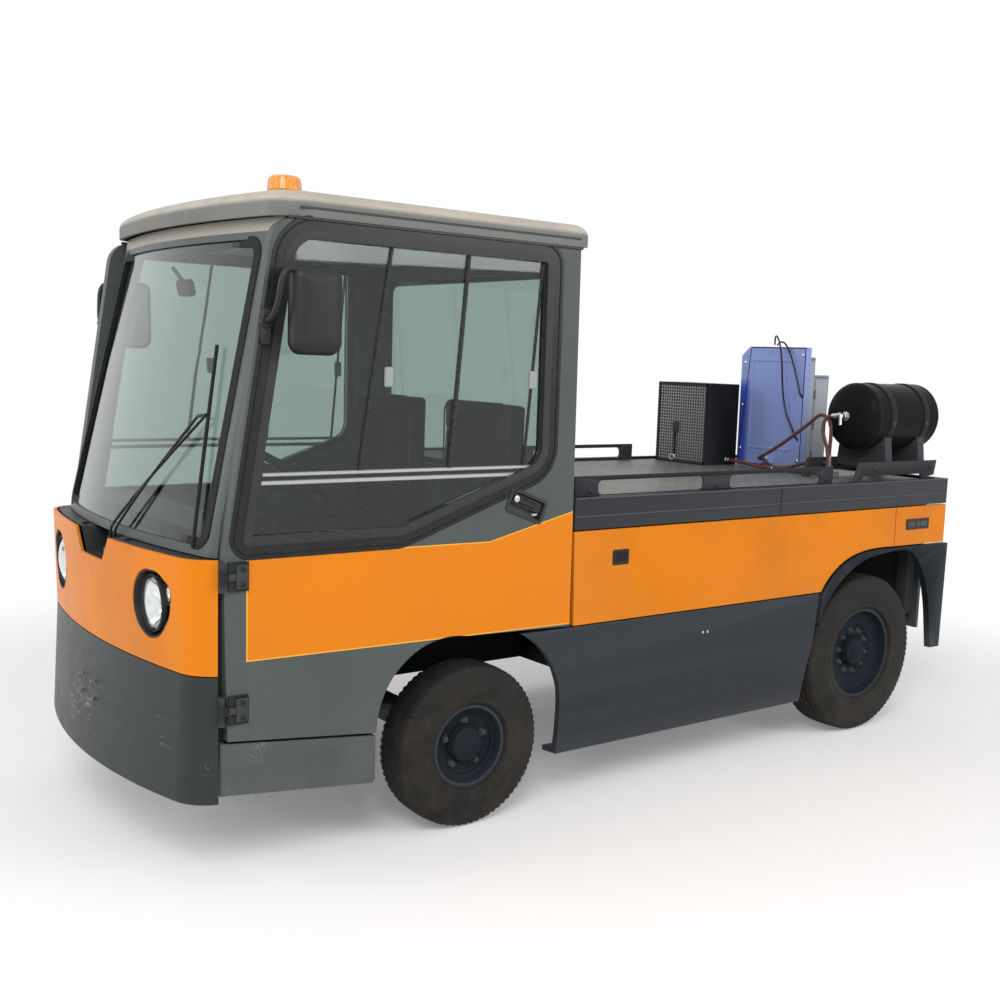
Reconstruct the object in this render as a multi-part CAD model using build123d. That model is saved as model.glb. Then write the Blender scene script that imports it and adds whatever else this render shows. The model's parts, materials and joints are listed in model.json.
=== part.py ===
from build123d import *
import math
import os

# Electric tow tractor with a two-seat cab and a flat deck.
# Millimetres. +X forward, +Y left, +Z up; Z = 0 is the ground under the tyres,
# and X = Y = 0 is the middle of the overall length and width.

# Overall sizes
LENGTH = 4100
WIDTH = 1500
NOSE_X = LENGTH / 2
TAIL_X = -LENGTH / 2
SIDE_Y = WIDTH / 2

# Wheels and axles
WHEELBASE = 2250
FRONT_OVERHANG = 1156
FRONT_AXLE_X = NOSE_X - FRONT_OVERHANG
REAR_AXLE_X = FRONT_AXLE_X - WHEELBASE
FRONT_TYRE_R = 303
FRONT_TYRE_W = 175
FRONT_RIM_R = 157
REAR_TYRE_R = 375
REAR_TYRE_W = 200
REAR_RIM_R = 218
RIM_GRIP = 3
TYRE_INSET = 4
FRONT_WHEEL_Y = SIDE_Y - TYRE_INSET - FRONT_TYRE_W / 2
REAR_WHEEL_Y = SIDE_Y - TYRE_INSET - REAR_TYRE_W / 2
SPINDLE_R = 28
RUNNING_GAP = 0.05
SHAFT_END_GAP = 1.0
KINGPIN_Y = FRONT_WHEEL_Y - 120
KINGPIN_R = 18
STEER_LIMIT_DEG = 35

# Nose: horizontal sections at three heights, each bowed in plan
HOOD_TOP_Z = 1062
HOOD_BOTTOM_Z = 696
BUMPER_TOP_Z = 692
BUMPER_BOTTOM_Z = 284
HOOD_NOSE_X = NOSE_X - 37
BOW_SAG = 85
BUMPER_BOW_SAG = 118
NOSE_CORNER_R = 135
LEAST_CORNER_R = 20
NOSE_REAR_X = NOSE_X - 188
PANEL_T = 10

# Cab
CAB_BASE_Z = 1064
CAB_TOP_Z = 2118
CAB_REAR_X = NOSE_X - 1572
CAB_NOSE_X = NOSE_X - 102
WINDSCREEN_RAKE = 240
CAB_CORNER_R = 105
PILLAR_T = 62
ROOF_SKIN_T = 28
GLASS_T = 6
DOOR_T = 38
DOOR_GAP = 6
DOOR_BACK_GAP = 5
DOOR_FLANGE = 28
FLOOR_Z = 470
FLOOR_T = 32
WHEELHOUSE_Z = 712
WHEELHOUSE_FRONT_X = FRONT_AXLE_X + 430

# Deck and body sides
DECK_Z = 1185
DECK_T = 18
RIM_TOP_Z = 1197
RIM_BOTTOM_Z = 1074
RIM_T = 40
BODY_REAR_X = NOSE_X - 3980
BODY_GAP = 6
SIDE_PANEL_T = 24
SIDE_PANEL_BOTTOM_Z = 706
SILL_BOTTOM_Z = 190
RAIL_T = 8
RAIL_H = 86
RAIL_INSET = 66

nodes = {}


def keep(name, *pieces):
    """Store the solids of one node under its name."""
    nodes[name] = [solid for piece in pieces for solid in piece.solids()]


def mirrored(piece):
    """The same piece on the right-hand side."""
    return mirror(piece, about=Plane.XZ)


def block(x_low, x_high, y_low, y_high, z_low, z_high):
    """Box between two corners."""
    middle = Pos((x_low + x_high) / 2, (y_low + y_high) / 2, (z_low + z_high) / 2)
    return middle * Box(x_high - x_low, y_high - y_low, z_high - z_low)


def polygon(points, radii=None):
    """Closed outline; radii maps the number of a corner to its fillet."""
    face = make_face(Polyline(*points, close=True))
    for number, radius in (radii or {}).items():
        corner = face.vertices().sort_by_distance(points[number])[0]
        face = fillet(corner, radius)
    return face


def across(outline, y_low, y_high):
    """Side-view outline (X, Z) made solid from y_low to y_high."""
    return extrude(Plane.XZ.offset(-y_high) * outline, y_high - y_low)


def along(outline, x_low, x_high):
    """Front-view outline (Y, Z) made solid from x_low to x_high."""
    return extrude(Plane.YZ.offset(x_low) * outline, x_high - x_low)


def upward(outline, z_low, z_high):
    """Plan outline (X, Y) made solid from z_low to z_high."""
    return extrude(Pos(0, 0, z_low) * outline, z_high - z_low)


def rod(start, end, radius):
    """Round bar between two points."""
    axis = Vector(*end) - Vector(*start)
    return extrude(Plane(origin=start, z_dir=axis) * Circle(radius), axis.length)


def bowed_plan(nose_x, sag, rear_x, half_width, corner_r):
    """Plan outline with a bowed front, rounded front corners and a square back."""
    bow_r = (half_width**2 + sag**2) / (2 * sag)
    bow_x = nose_x - bow_r
    corner_y = half_width - corner_r
    corner_x = bow_x + math.sqrt((bow_r - corner_r) ** 2 - corner_y**2)
    reach = bow_r / (bow_r - corner_r)
    touch = (bow_x + (corner_x - bow_x) * reach, corner_y * reach)
    half_turn = math.atan2(corner_y, corner_x - bow_x) / 2 + math.pi / 4
    middle = (corner_x + corner_r * math.cos(half_turn), corner_y + corner_r * math.sin(half_turn))
    left = ThreePointArc((corner_x, half_width), middle, touch)
    front = ThreePointArc(touch, (nose_x, 0), (touch[0], -touch[1]))
    right = ThreePointArc((touch[0], -touch[1]), (middle[0], -middle[1]), (corner_x, -half_width))
    back = Polyline(
        (corner_x, -half_width), (rear_x, -half_width), (rear_x, half_width), (corner_x, half_width)
    )
    return make_face(left + front + right + back)


def bowed_solid(sections, inset, rear_x):
    """Ruled solid through bowed outlines, each (z, nose_x, sag, corner_r), drawn in by inset."""
    faces = []
    for z, nose_x, sag, corner_r in sections:
        plan = bowed_plan(nose_x - inset, sag, rear_x, SIDE_Y - inset, max(corner_r - inset, LEAST_CORNER_R))
        faces.append(Pos(0, 0, z) * plan)
    return loft(faces, ruled=True)


def nose_shell(sections, thickness):
    """Bowed panel of one thickness, open behind, from the nose back to NOSE_REAR_X."""
    deep_x = NOSE_REAR_X - 200
    shell = bowed_solid(sections, 0, deep_x) - bowed_solid(sections, thickness, deep_x - 1)
    return shell - block(deep_x - 2, NOSE_REAR_X, -SIDE_Y - 1, SIDE_Y + 1, 0, HOOD_TOP_Z + 1)


# Side-view outline of the door, anticlockwise from its lower front corner
DOOR_FRONT_X = NOSE_REAR_X - 14
DOOR_REAR_X = CAB_REAR_X
DOOR_RAKE = 160
PILLAR_DEPTH = 100
ARCH_FRONT_X = FRONT_AXLE_X + 405
ARCH_TOP_Z = 722
HINGE_X = NOSE_REAR_X - 5
HINGE_Y = SIDE_Y + 8
HINGE_R = 10
HINGE_PIN_R = 5
HINGE_ZS = (585, 1009)


def door_outline():
    """Door panel seen from the left, with the wheel arch in its lower rear edge."""
    lower_front = (DOOR_FRONT_X - 14, 484)
    arch_foot = (ARCH_FRONT_X, 426)
    arch_top = (FRONT_AXLE_X + 40, ARCH_TOP_Z)
    arch_side = (FRONT_AXLE_X + 318, 640)
    edges = Polyline(
        arch_foot, lower_front, (DOOR_FRONT_X, CAB_BASE_Z), (DOOR_FRONT_X - DOOR_RAKE, 2112),
        (DOOR_REAR_X, 2108), (DOOR_REAR_X - 12, 708), arch_top,
    )
    face = make_face(edges + ThreePointArc(arch_top, arch_side, arch_foot))
    corner = face.vertices().sort_by_distance((DOOR_FRONT_X - DOOR_RAKE, 2112))[0]
    return fillet(corner, 90)


def door_window_outline():
    """Window opening of the door panel."""
    points = [
        (DOOR_FRONT_X - 58, 1100), (DOOR_FRONT_X - 634, 1100), (CAB_REAR_X + 120, 1318),
        (CAB_REAR_X + 120, 2082), (DOOR_FRONT_X - 212, 2082),
    ]
    return polygon(points, {0: 25, 1: 120, 2: 110, 3: 40, 4: 110})


def nose():
    """Orange hood panel, grey bumper panel and the black cowl between hood and windscreen."""
    hood_sections = [
        (HOOD_BOTTOM_Z, HOOD_NOSE_X - 7, BOW_SAG, NOSE_CORNER_R),
        (HOOD_TOP_Z, HOOD_NOSE_X + 2, BOW_SAG, NOSE_CORNER_R),
    ]
    hood = nose_shell(hood_sections, PANEL_T)
    notch = polygon([(-175, HOOD_TOP_Z + 1), (-112, 978), (112, 978), (175, HOOD_TOP_Z + 1)], {1: 15, 2: 15})
    hood -= along(notch, NOSE_REAR_X, NOSE_X)
    recess = headlamp_recess()
    hood -= along(recess, NOSE_REAR_X, NOSE_X) + along(mirror(recess, about=Plane.YZ), NOSE_REAR_X, NOSE_X)
    keep("hood_panel", hood)

    bumper_sections = [
        (BUMPER_BOTTOM_Z, NOSE_X, BUMPER_BOW_SAG, NOSE_CORNER_R),
        (BUMPER_TOP_Z, HOOD_NOSE_X - 7, BOW_SAG, NOSE_CORNER_R),
    ]
    bumper = nose_shell(bumper_sections, PANEL_T)
    for y, z in ((40 + dy, z) for dy in (-65, 65) for z in (484, 546)):
        bumper -= rod((NOSE_REAR_X, y - 40, z), (NOSE_X + 1, y - 40, z), 6)
    keep("front_bumper", bumper)

    cowl_plan = bowed_plan(
        HOOD_NOSE_X - 7 - PANEL_T - 1, BOW_SAG, NOSE_REAR_X - 200, SIDE_Y - PANEL_T - 1, NOSE_CORNER_R - PANEL_T
    ) - Pos(NOSE_REAR_X - 190, 0) * Rectangle(400, WIDTH)
    cowl = upward(cowl_plan, HOOD_TOP_Z - 22, HOOD_TOP_Z - 2)
    pocket = along(polygon([(-160, 1062), (-102, 982), (102, 982), (160, 1062)]), NOSE_REAR_X + 40, NOSE_X)
    pocket_wall = along(polygon([(-172, 1058), (-108, 970), (108, 970), (172, 1058)]), NOSE_REAR_X + 28, NOSE_X)
    limit = upward(cowl_plan, 960, HOOD_TOP_Z - 2)
    keep("cowl", (cowl + (pocket_wall & limit)) - pocket)


def headlamp_recess():
    """Front-view outline of the teardrop recess round the left headlamp pair."""
    main = Pos(470, 890) * Circle(112)
    lobe = Pos(556, 932) * Circle(48)
    return main + lobe + Pos(500, 905) * Circle(98)


def lamps():
    """Headlamp buckets with a large and a small lens each, and the two rear lamp blocks."""
    bucket = along(headlamp_recess(), NOSE_REAR_X + 10, HOOD_NOSE_X - 140)
    main = rod((HOOD_NOSE_X - 140, 480, 892), (HOOD_NOSE_X - 45, 480, 892), 86)
    small = rod((HOOD_NOSE_X - 140, 558, 934), (HOOD_NOSE_X - 72, 558, 934), 27)
    left = bucket + main + small
    keep("headlamps", left, mirrored(left))
    rear = block(BODY_REAR_X - 28, BODY_REAR_X - 4, 520, 680, 930, 1010)
    keep("tail_lamps", rear, mirrored(rear))


def cab():
    """Cab shell above the belt line, the tub below it, the roof cap and the glazing."""
    sections = [
        (CAB_BASE_Z, CAB_NOSE_X, BOW_SAG, CAB_CORNER_R),
        (CAB_TOP_Z, CAB_NOSE_X - WINDSCREEN_RAKE, BOW_SAG, CAB_CORNER_R),
    ]
    rise = CAB_TOP_Z - CAB_BASE_Z
    inner_top = CAB_TOP_Z - ROOF_SKIN_T
    inner_nose = CAB_NOSE_X - WINDSCREEN_RAKE * (inner_top - CAB_BASE_Z) / rise
    inner_sections = [
        (CAB_BASE_Z, CAB_NOSE_X, BOW_SAG, CAB_CORNER_R),
        (inner_top, inner_nose, BOW_SAG, CAB_CORNER_R),
    ]
    inner = bowed_solid(inner_sections, PILLAR_T + DOOR_T + DOOR_BACK_GAP, CAB_REAR_X + PILLAR_T)
    shell = bowed_solid(sections, 0, CAB_REAR_X) - inner
    front_cut = bowed_solid(inner_sections, PILLAR_T, CAB_REAR_X + PILLAR_T)
    shell -= front_cut & block(CAB_NOSE_X - 420, NOSE_X, -SIDE_Y, SIDE_Y, CAB_BASE_Z, inner_top)
    recess = across(offset(door_outline(), DOOR_GAP), SIDE_Y - DOOR_T - DOOR_BACK_GAP, SIDE_Y + 1)
    behind_pillar = polygon([
        (CAB_REAR_X, CAB_BASE_Z), (DOOR_FRONT_X - PILLAR_DEPTH, CAB_BASE_Z),
        (DOOR_FRONT_X - DOOR_RAKE - PILLAR_DEPTH, 2112), (CAB_REAR_X, 2112),
    ])
    opening = across(offset(door_outline(), -DOOR_FLANGE) & behind_pillar, SIDE_Y - 200, SIDE_Y + 1)
    for piece in (recess, opening):
        shell -= piece
        shell -= mirrored(piece)
    screen = polygon([(-672, 1092), (672, 1092), (622, 2052), (-622, 2052)], {0: 45, 1: 45, 2: 60, 3: 60})
    shell -= along(screen, CAB_NOSE_X - 420, NOSE_X)
    back = polygon([(-600, 1250), (600, 1250), (600, 2030), (-600, 2030)], {0: 60, 1: 60, 2: 60, 3: 60})
    shell -= along(back, CAB_REAR_X - 1, CAB_REAR_X + 200)
    keep("cab_frame", shell)

    screen_skin = bowed_solid(sections, 8, CAB_REAR_X) - bowed_solid(sections, 8 + GLASS_T, CAB_REAR_X - 1)
    windscreen = screen_skin & along(offset(screen, -1.0), CAB_NOSE_X - 420, NOSE_X)
    rear_window = along(offset(back, -1.0), CAB_REAR_X + 20, CAB_REAR_X + 20 + GLASS_T)
    keep("cab_glazing", windscreen, rear_window)

    outside = polygon([
        (CAB_REAR_X, WHEELHOUSE_Z), (CAB_REAR_X, CAB_BASE_Z), (NOSE_REAR_X - 8, CAB_BASE_Z),
        (NOSE_REAR_X - 8, FLOOR_Z), (WHEELHOUSE_FRONT_X, FLOOR_Z), (WHEELHOUSE_FRONT_X, WHEELHOUSE_Z),
    ])
    inside = polygon([
        (CAB_REAR_X + 40, WHEELHOUSE_Z + FLOOR_T), (CAB_REAR_X + 40, CAB_BASE_Z + 1),
        (NOSE_REAR_X - 48, CAB_BASE_Z + 1), (NOSE_REAR_X - 48, FLOOR_Z + FLOOR_T),
        (WHEELHOUSE_FRONT_X + FLOOR_T, FLOOR_Z + FLOOR_T), (WHEELHOUSE_FRONT_X + FLOOR_T, WHEELHOUSE_Z + FLOOR_T),
    ])
    tub_y = SIDE_Y - DOOR_T - DOOR_BACK_GAP
    tub = across(outside, -tub_y, tub_y) - across(inside, -(tub_y - 50), tub_y - 50)
    aperture = offset(door_outline(), -DOOR_FLANGE - 20)
    above_floor = across(inside, -SIDE_Y, SIDE_Y)
    tub -= across(aperture, -SIDE_Y, SIDE_Y) & above_floor
    keep("cab_tub", tub)

    roof_plan = bowed_plan(CAB_NOSE_X - WINDSCREEN_RAKE + 36, BOW_SAG, CAB_REAR_X - 28, SIDE_Y + 2, 130)
    roof = upward(roof_plan, CAB_TOP_Z, 2200)
    roof = fillet(roof.edges().group_by(Axis.Z)[-1], 46)
    hollow_plan = bowed_plan(CAB_NOSE_X - WINDSCREEN_RAKE + 22, BOW_SAG, CAB_REAR_X - 14, SIDE_Y - 12, 116)
    hollow = upward(hollow_plan, CAB_TOP_Z - 1, 2186)
    roof -= fillet(hollow.edges().group_by(Axis.Z)[-1], 32)
    keep("cab_roof", roof)


def hinge_knuckle(z_low, z_high):
    """One ring of a hinge, bored for its pin."""
    ring = rod((HINGE_X, HINGE_Y, z_low), (HINGE_X, HINGE_Y, z_high), HINGE_R)
    return ring


def hinges():
    """Fixed halves of the door hinges, each a plate in the gap with two knuckles and the pin."""
    brackets = []
    for z in HINGE_ZS:
        plate = block(HINGE_X - 3, HINGE_X + 3, SIDE_Y - DOOR_T - 6, HINGE_Y, z - 46, z + 46)
        plate -= rod((HINGE_X, HINGE_Y, z - 17), (HINGE_X, HINGE_Y, z + 17), HINGE_R + 4)
        bracket = plate + hinge_knuckle(z - 46, z - 16) + hinge_knuckle(z + 16, z + 46)
        bracket += rod((HINGE_X, HINGE_Y, z - 46), (HINGE_X, HINGE_Y, z + 46), HINGE_PIN_R)
        brackets += [bracket, mirrored(bracket)]
    keep("door_hinges", *brackets)


def door(side):
    """Door panel with hinge leaves, its window frame and handle, panes and mirror."""
    panel = across(door_outline(), SIDE_Y - DOOR_T, SIDE_Y)
    for z in HINGE_ZS:
        leaf = block(DOOR_FRONT_X - 80, HINGE_X, SIDE_Y, SIDE_Y + 9, z - 46, z + 46)
        leaf -= block(HINGE_X - 22, HINGE_X + 5, SIDE_Y - 1, SIDE_Y + 20, z - 47, z - 15)
        leaf -= block(HINGE_X - 22, HINGE_X + 5, SIDE_Y - 1, SIDE_Y + 20, z + 15, z + 47)
        panel += leaf + hinge_knuckle(z - 15, z + 15)
        panel -= rod((HINGE_X, HINGE_Y, z - 60), (HINGE_X, HINGE_Y, z + 60), HINGE_PIN_R + RUNNING_GAP)
    panel -= across(door_window_outline(), SIDE_Y - DOOR_T - 1, SIDE_Y + 1)
    grip = Pos(690, 1178) * Rot(0, 0, 21) * RectangleRounded(176, 92, 14)
    panel -= across(grip, SIDE_Y - 26, SIDE_Y + 1)
    frame_outline = offset(door_window_outline(), -0.5)
    frame = across(frame_outline - offset(door_window_outline(), -30), SIDE_Y - DOOR_T - 2, SIDE_Y + 3)
    cup = across(offset(grip, -0.5) - offset(grip, -12), SIDE_Y - 25, SIDE_Y + 4)
    pull = across(Pos(690, 1190) * Rot(0, 0, 21) * RectangleRounded(150, 38, 6), SIDE_Y - 25, SIDE_Y - 6)
    glass = across(offset(door_window_outline(), -30.5), SIDE_Y - 22, SIDE_Y - 22 + GLASS_T)
    arm = rod((1716, SIDE_Y + 8, 1770), (1700, SIDE_Y + 70, 1800), 9)
    arm += rod((1700, SIDE_Y + 70, 1800), (1668, SIDE_Y + 100, 1952), 9)
    clamp = block(1700, 1732, SIDE_Y, SIDE_Y + 22, 1720, 1830)
    shell = across(Pos(1585, 1830) * RectangleRounded(170, 270, 35), SIDE_Y + 60, SIDE_Y + 120)
    mirror_piece = clamp + arm + shell + rod((1668, SIDE_Y + 100, 1952), (1600, SIDE_Y + 95, 1940), 9)
    pieces = {
        "door": [panel], "door_fittings": [frame, cup + pull], "door_glass": [glass], "door_mirror": [mirror_piece],
    }
    for name, solids in pieces.items():
        if side == "right":
            solids = [mirrored(solid) for solid in solids]
        keep(name + "_" + side, *solids)


def interior():
    """Dashboard with the steering column, seats and their bases."""
    profile = polygon([
        (NOSE_REAR_X - 49, 700), (NOSE_REAR_X - 49, 1058), (CAB_NOSE_X - 100, 1066), (CAB_NOSE_X - 130, 1110),
        (1640, 1130), (1590, 1060), (1640, 900), (1720, 700),
    ])
    dash = across(profile, -600, 600) & block(1500, NOSE_REAR_X - 49, -600, 600, 690, 1200)
    dash += across(polygon([(1560, 900), (1700, 900), (1700, 1145), (1545, 1180)], {3: 30}), 230, 510)
    column = rod(COLUMN_FOOT, COLUMN_END, 26)
    stub = rod(COLUMN_END, tuple(Vector(*COLUMN_END) + column_axis() * 40), COLUMN_STUB_R)
    keep("dashboard", dash + column + stub)
    base = block(CAB_REAR_X + 60, CAB_REAR_X + 560, 90, 610, WHEELHOUSE_Z + FLOOR_T, 880)
    keep("seat_bases", base, mirrored(base))
    cushion = block(CAB_REAR_X + 110, CAB_REAR_X + 590, 100, 600, 880.3, 990)
    back = across(polygon([
        (CAB_REAR_X + 75, 991), (CAB_REAR_X + 190, 991), (CAB_REAR_X + 150, 1560), (CAB_REAR_X + 65, 1560),
    ], {2: 30, 3: 30}), 110, 590)
    keep("seat_cushions", cushion, back, mirrored(cushion), mirrored(back))


COLUMN_FOOT = (1700, 370, 960)
COLUMN_END = (1520, 370, 1250)
COLUMN_STUB_R = 10


def column_axis():
    """Unit vector up the steering column, towards the driver."""
    return (Vector(*COLUMN_END) - Vector(*COLUMN_FOOT)).normalized()


STEERING_WHEEL_R = 200


def steering_wheel():
    """Rim, hub and three spokes on the end of the raked column."""
    axis = column_axis()
    centre = Vector(*COLUMN_END) + axis * 46
    plane = Plane(origin=centre, z_dir=axis)
    wheel = plane * Torus(STEERING_WHEEL_R, 15)
    for angle in (90, 210, 330):
        direction = plane.from_local_coords(Vector(STEERING_WHEEL_R, 0, 0).rotate(Axis.Z, angle))
        wheel += rod(tuple(centre), tuple(direction), 11)
    wheel += rod(tuple(centre - axis * 45.5), tuple(centre + axis * 10), 40)
    wheel -= rod(tuple(centre - axis * 46), tuple(centre - axis * 5), COLUMN_STUB_R + RUNNING_GAP)
    keep("steering_wheel", wheel)


def tyre(centre_x, centre_y, radius, rim_radius, width):
    """Tyre with rounded shoulders, open towards the rim."""
    half = width / 2
    inner = rim_radius - RIM_GRIP
    section = polygon([
        (inner, -half + 22), (rim_radius + 40, -half), (radius - 45, -half), (radius, -half + 26),
        (radius, half - 26), (radius - 45, half), (rim_radius + 40, half), (inner, half - 22),
        (inner, half - 50), (radius - 40, half - 30), (radius - 40, -half + 30), (inner, -half + 50),
    ], {2: 14, 3: 12, 4: 12, 5: 14})
    ring = revolve(section, Axis.Y)
    return Pos(centre_x, centre_y, radius) * ring


def rim(centre_x, centre_y, radius, rim_radius, width, side):
    """Wheel rim with a dished disc and a hub bored for its spindle."""
    half = width / 2 - 22
    inner = rim_radius - RIM_GRIP
    barrel = revolve(polygon([
        (inner, -half), (inner, half), (inner - 14, half), (inner - 22, half - 30),
        (inner - 22, -half + 30), (inner - 14, -half),
    ]), Axis.Y)
    disc = revolve(polygon([
        (SPINDLE_R + RUNNING_GAP, -40), (SPINDLE_R + RUNNING_GAP, 40), (62, 40), (62, 18),
        (inner - 20, 30), (inner - 20, 12), (62, 4), (62, -40),
    ]), Axis.Y)
    wheel = barrel + disc
    if side == "right":
        wheel = mirror(wheel, about=Plane.XZ)
    return Pos(centre_x, centre_y, radius) * wheel


def wheels():
    """Tyre and rim nodes of the four wheels."""
    for end, x, y, radius, rim_radius, width in (
        ("front", FRONT_AXLE_X, FRONT_WHEEL_Y, FRONT_TYRE_R, FRONT_RIM_R, FRONT_TYRE_W),
        ("rear", REAR_AXLE_X, REAR_WHEEL_Y, REAR_TYRE_R, REAR_RIM_R, REAR_TYRE_W),
    ):
        for side, sign in (("left", 1), ("right", -1)):
            keep("tyre_" + end + "_" + side, tyre(x, sign * y, radius, rim_radius, width))
            keep("rim_" + end + "_" + side, rim(x, sign * y, radius, rim_radius, width, side))


def front_axle():
    """Axle beam with its kingpins, and the knuckles that turn on them."""
    z = FRONT_TYRE_R
    eye_half = 45
    beam = block(FRONT_AXLE_X - 45, FRONT_AXLE_X + 45, -KINGPIN_Y, KINGPIN_Y, z - 40, z + 40)
    for y in (KINGPIN_Y, -KINGPIN_Y):
        beam += rod((FRONT_AXLE_X, y, z - eye_half), (FRONT_AXLE_X, y, z + eye_half), 42)
        beam += rod((FRONT_AXLE_X, y, z - eye_half - 40), (FRONT_AXLE_X, y, z + eye_half + 40), KINGPIN_R)
    keep("front_axle", beam)
    low, high = z - eye_half - SHAFT_END_GAP, z + eye_half + SHAFT_END_GAP
    web_y = KINGPIN_Y + 44
    fork = rod((FRONT_AXLE_X, KINGPIN_Y, high), (FRONT_AXLE_X, KINGPIN_Y, high + 34), 38)
    fork += rod((FRONT_AXLE_X, KINGPIN_Y, low - 34), (FRONT_AXLE_X, KINGPIN_Y, low), 38)
    for z_low, z_high in ((high, high + 34), (low - 34, low)):
        fork += block(FRONT_AXLE_X - 38, FRONT_AXLE_X + 38, KINGPIN_Y, web_y + 14, z_low, z_high)
    fork += block(FRONT_AXLE_X - 38, FRONT_AXLE_X + 38, web_y, web_y + 14, low - 34, high + 34)
    fork -= rod((FRONT_AXLE_X, KINGPIN_Y, 0), (FRONT_AXLE_X, KINGPIN_Y, 700), KINGPIN_R + RUNNING_GAP)
    hub_inner = FRONT_WHEEL_Y - 40 - SHAFT_END_GAP
    spindle = rod((FRONT_AXLE_X, web_y + 10, z), (FRONT_AXLE_X, hub_inner, z), 45)
    spindle += rod((FRONT_AXLE_X, hub_inner, z), (FRONT_AXLE_X, FRONT_WHEEL_Y + 44, z), SPINDLE_R)
    keep("knuckle_left", fork + spindle)
    keep("knuckle_right", mirrored(fork + spindle))


def rear_axle():
    """Axle tubes with spindles round a central housing, and the drive motor ahead of it."""
    z = REAR_TYRE_R
    hub_inner = REAR_WHEEL_Y - 40 - SHAFT_END_GAP
    axle = rod((REAR_AXLE_X, -hub_inner, z), (REAR_AXLE_X, hub_inner, z), 60)
    axle += rod((REAR_AXLE_X, -REAR_WHEEL_Y - 44, z), (REAR_AXLE_X, REAR_WHEEL_Y + 44, z), SPINDLE_R)
    axle += Pos(REAR_AXLE_X, 0, z) * Sphere(150)
    keep("rear_axle", axle)
    motor = rod((REAR_AXLE_X + 155, 0, z + 20), (REAR_AXLE_X + 560, 0, z + 20), 130)
    keep("drive_motor", motor)


def springs():
    """Leaf springs between the axles and the chassis rails."""
    packs = []
    for x, z_axle, y in ((FRONT_AXLE_X, FRONT_TYRE_R + 40, 290), (REAR_AXLE_X, REAR_TYRE_R + 60, 330)):
        top = CHASSIS_Z_LOW
        length = 320
        arc = ThreePointArc((x - length, top - 24), (x, z_axle + 22), (x + length, top - 24))
        lower = ThreePointArc((x - length, top - 46), (x, z_axle), (x + length, top - 46))
        ends = Line((x - length, top - 24), (x - length, top - 46)) + Line((x + length, top - 24), (x + length, top - 46))
        leaf = across(make_face(arc + lower + ends), y - 35, y + 35)
        for end in (x - length, x + length):
            leaf += block(end - 20, end + 20, y - 35, y + 35, top - 50, top)
        packs += [leaf, mirrored(leaf)]
    keep("leaf_springs", *packs)


CHASSIS_Z_LOW = 500
CHASSIS_Z_HIGH = 640
CHASSIS_Y = 330


def chassis():
    """Ladder frame with cross members, front plate, deck posts and battery."""
    rear_x = BODY_REAR_X + 20
    side = across(polygon([
        (rear_x, CHASSIS_Z_LOW), (rear_x, CHASSIS_Z_HIGH), (1270, CHASSIS_Z_HIGH), (1310, FLOOR_Z - 4),
        (NOSE_REAR_X + 60, FLOOR_Z - 4), (NOSE_REAR_X + 60, 330), (1340, 330), (1240, CHASSIS_Z_LOW),
    ]), CHASSIS_Y - 40, CHASSIS_Y + 40)
    chassis_solid = side + mirrored(side)
    for x in (rear_x + 30, -700, 440, 1230):
        chassis_solid += block(x - 30, x + 30, -CHASSIS_Y, CHASSIS_Y, CHASSIS_Z_LOW, CHASSIS_Z_HIGH - 20)
    chassis_solid += block(NOSE_REAR_X + 40, NOSE_REAR_X + 60, -560, 560, 330, FLOOR_Z - 4)
    for x in (380, -740, -1850):
        for y in (600, -600):
            chassis_solid += block(x - 30, x + 30, y - 30, y + 30, CHASSIS_Z_LOW, DECK_Z - DECK_T)
            chassis_solid += block(x - 30, x + 30, min(y, 0), max(y, 0), CHASSIS_Z_LOW, CHASSIS_Z_LOW + 60)
    keep("chassis_frame", chassis_solid)
    keep("traction_battery", block(-600, 380, -420, 420, CHASSIS_Z_HIGH, 1130))


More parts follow.
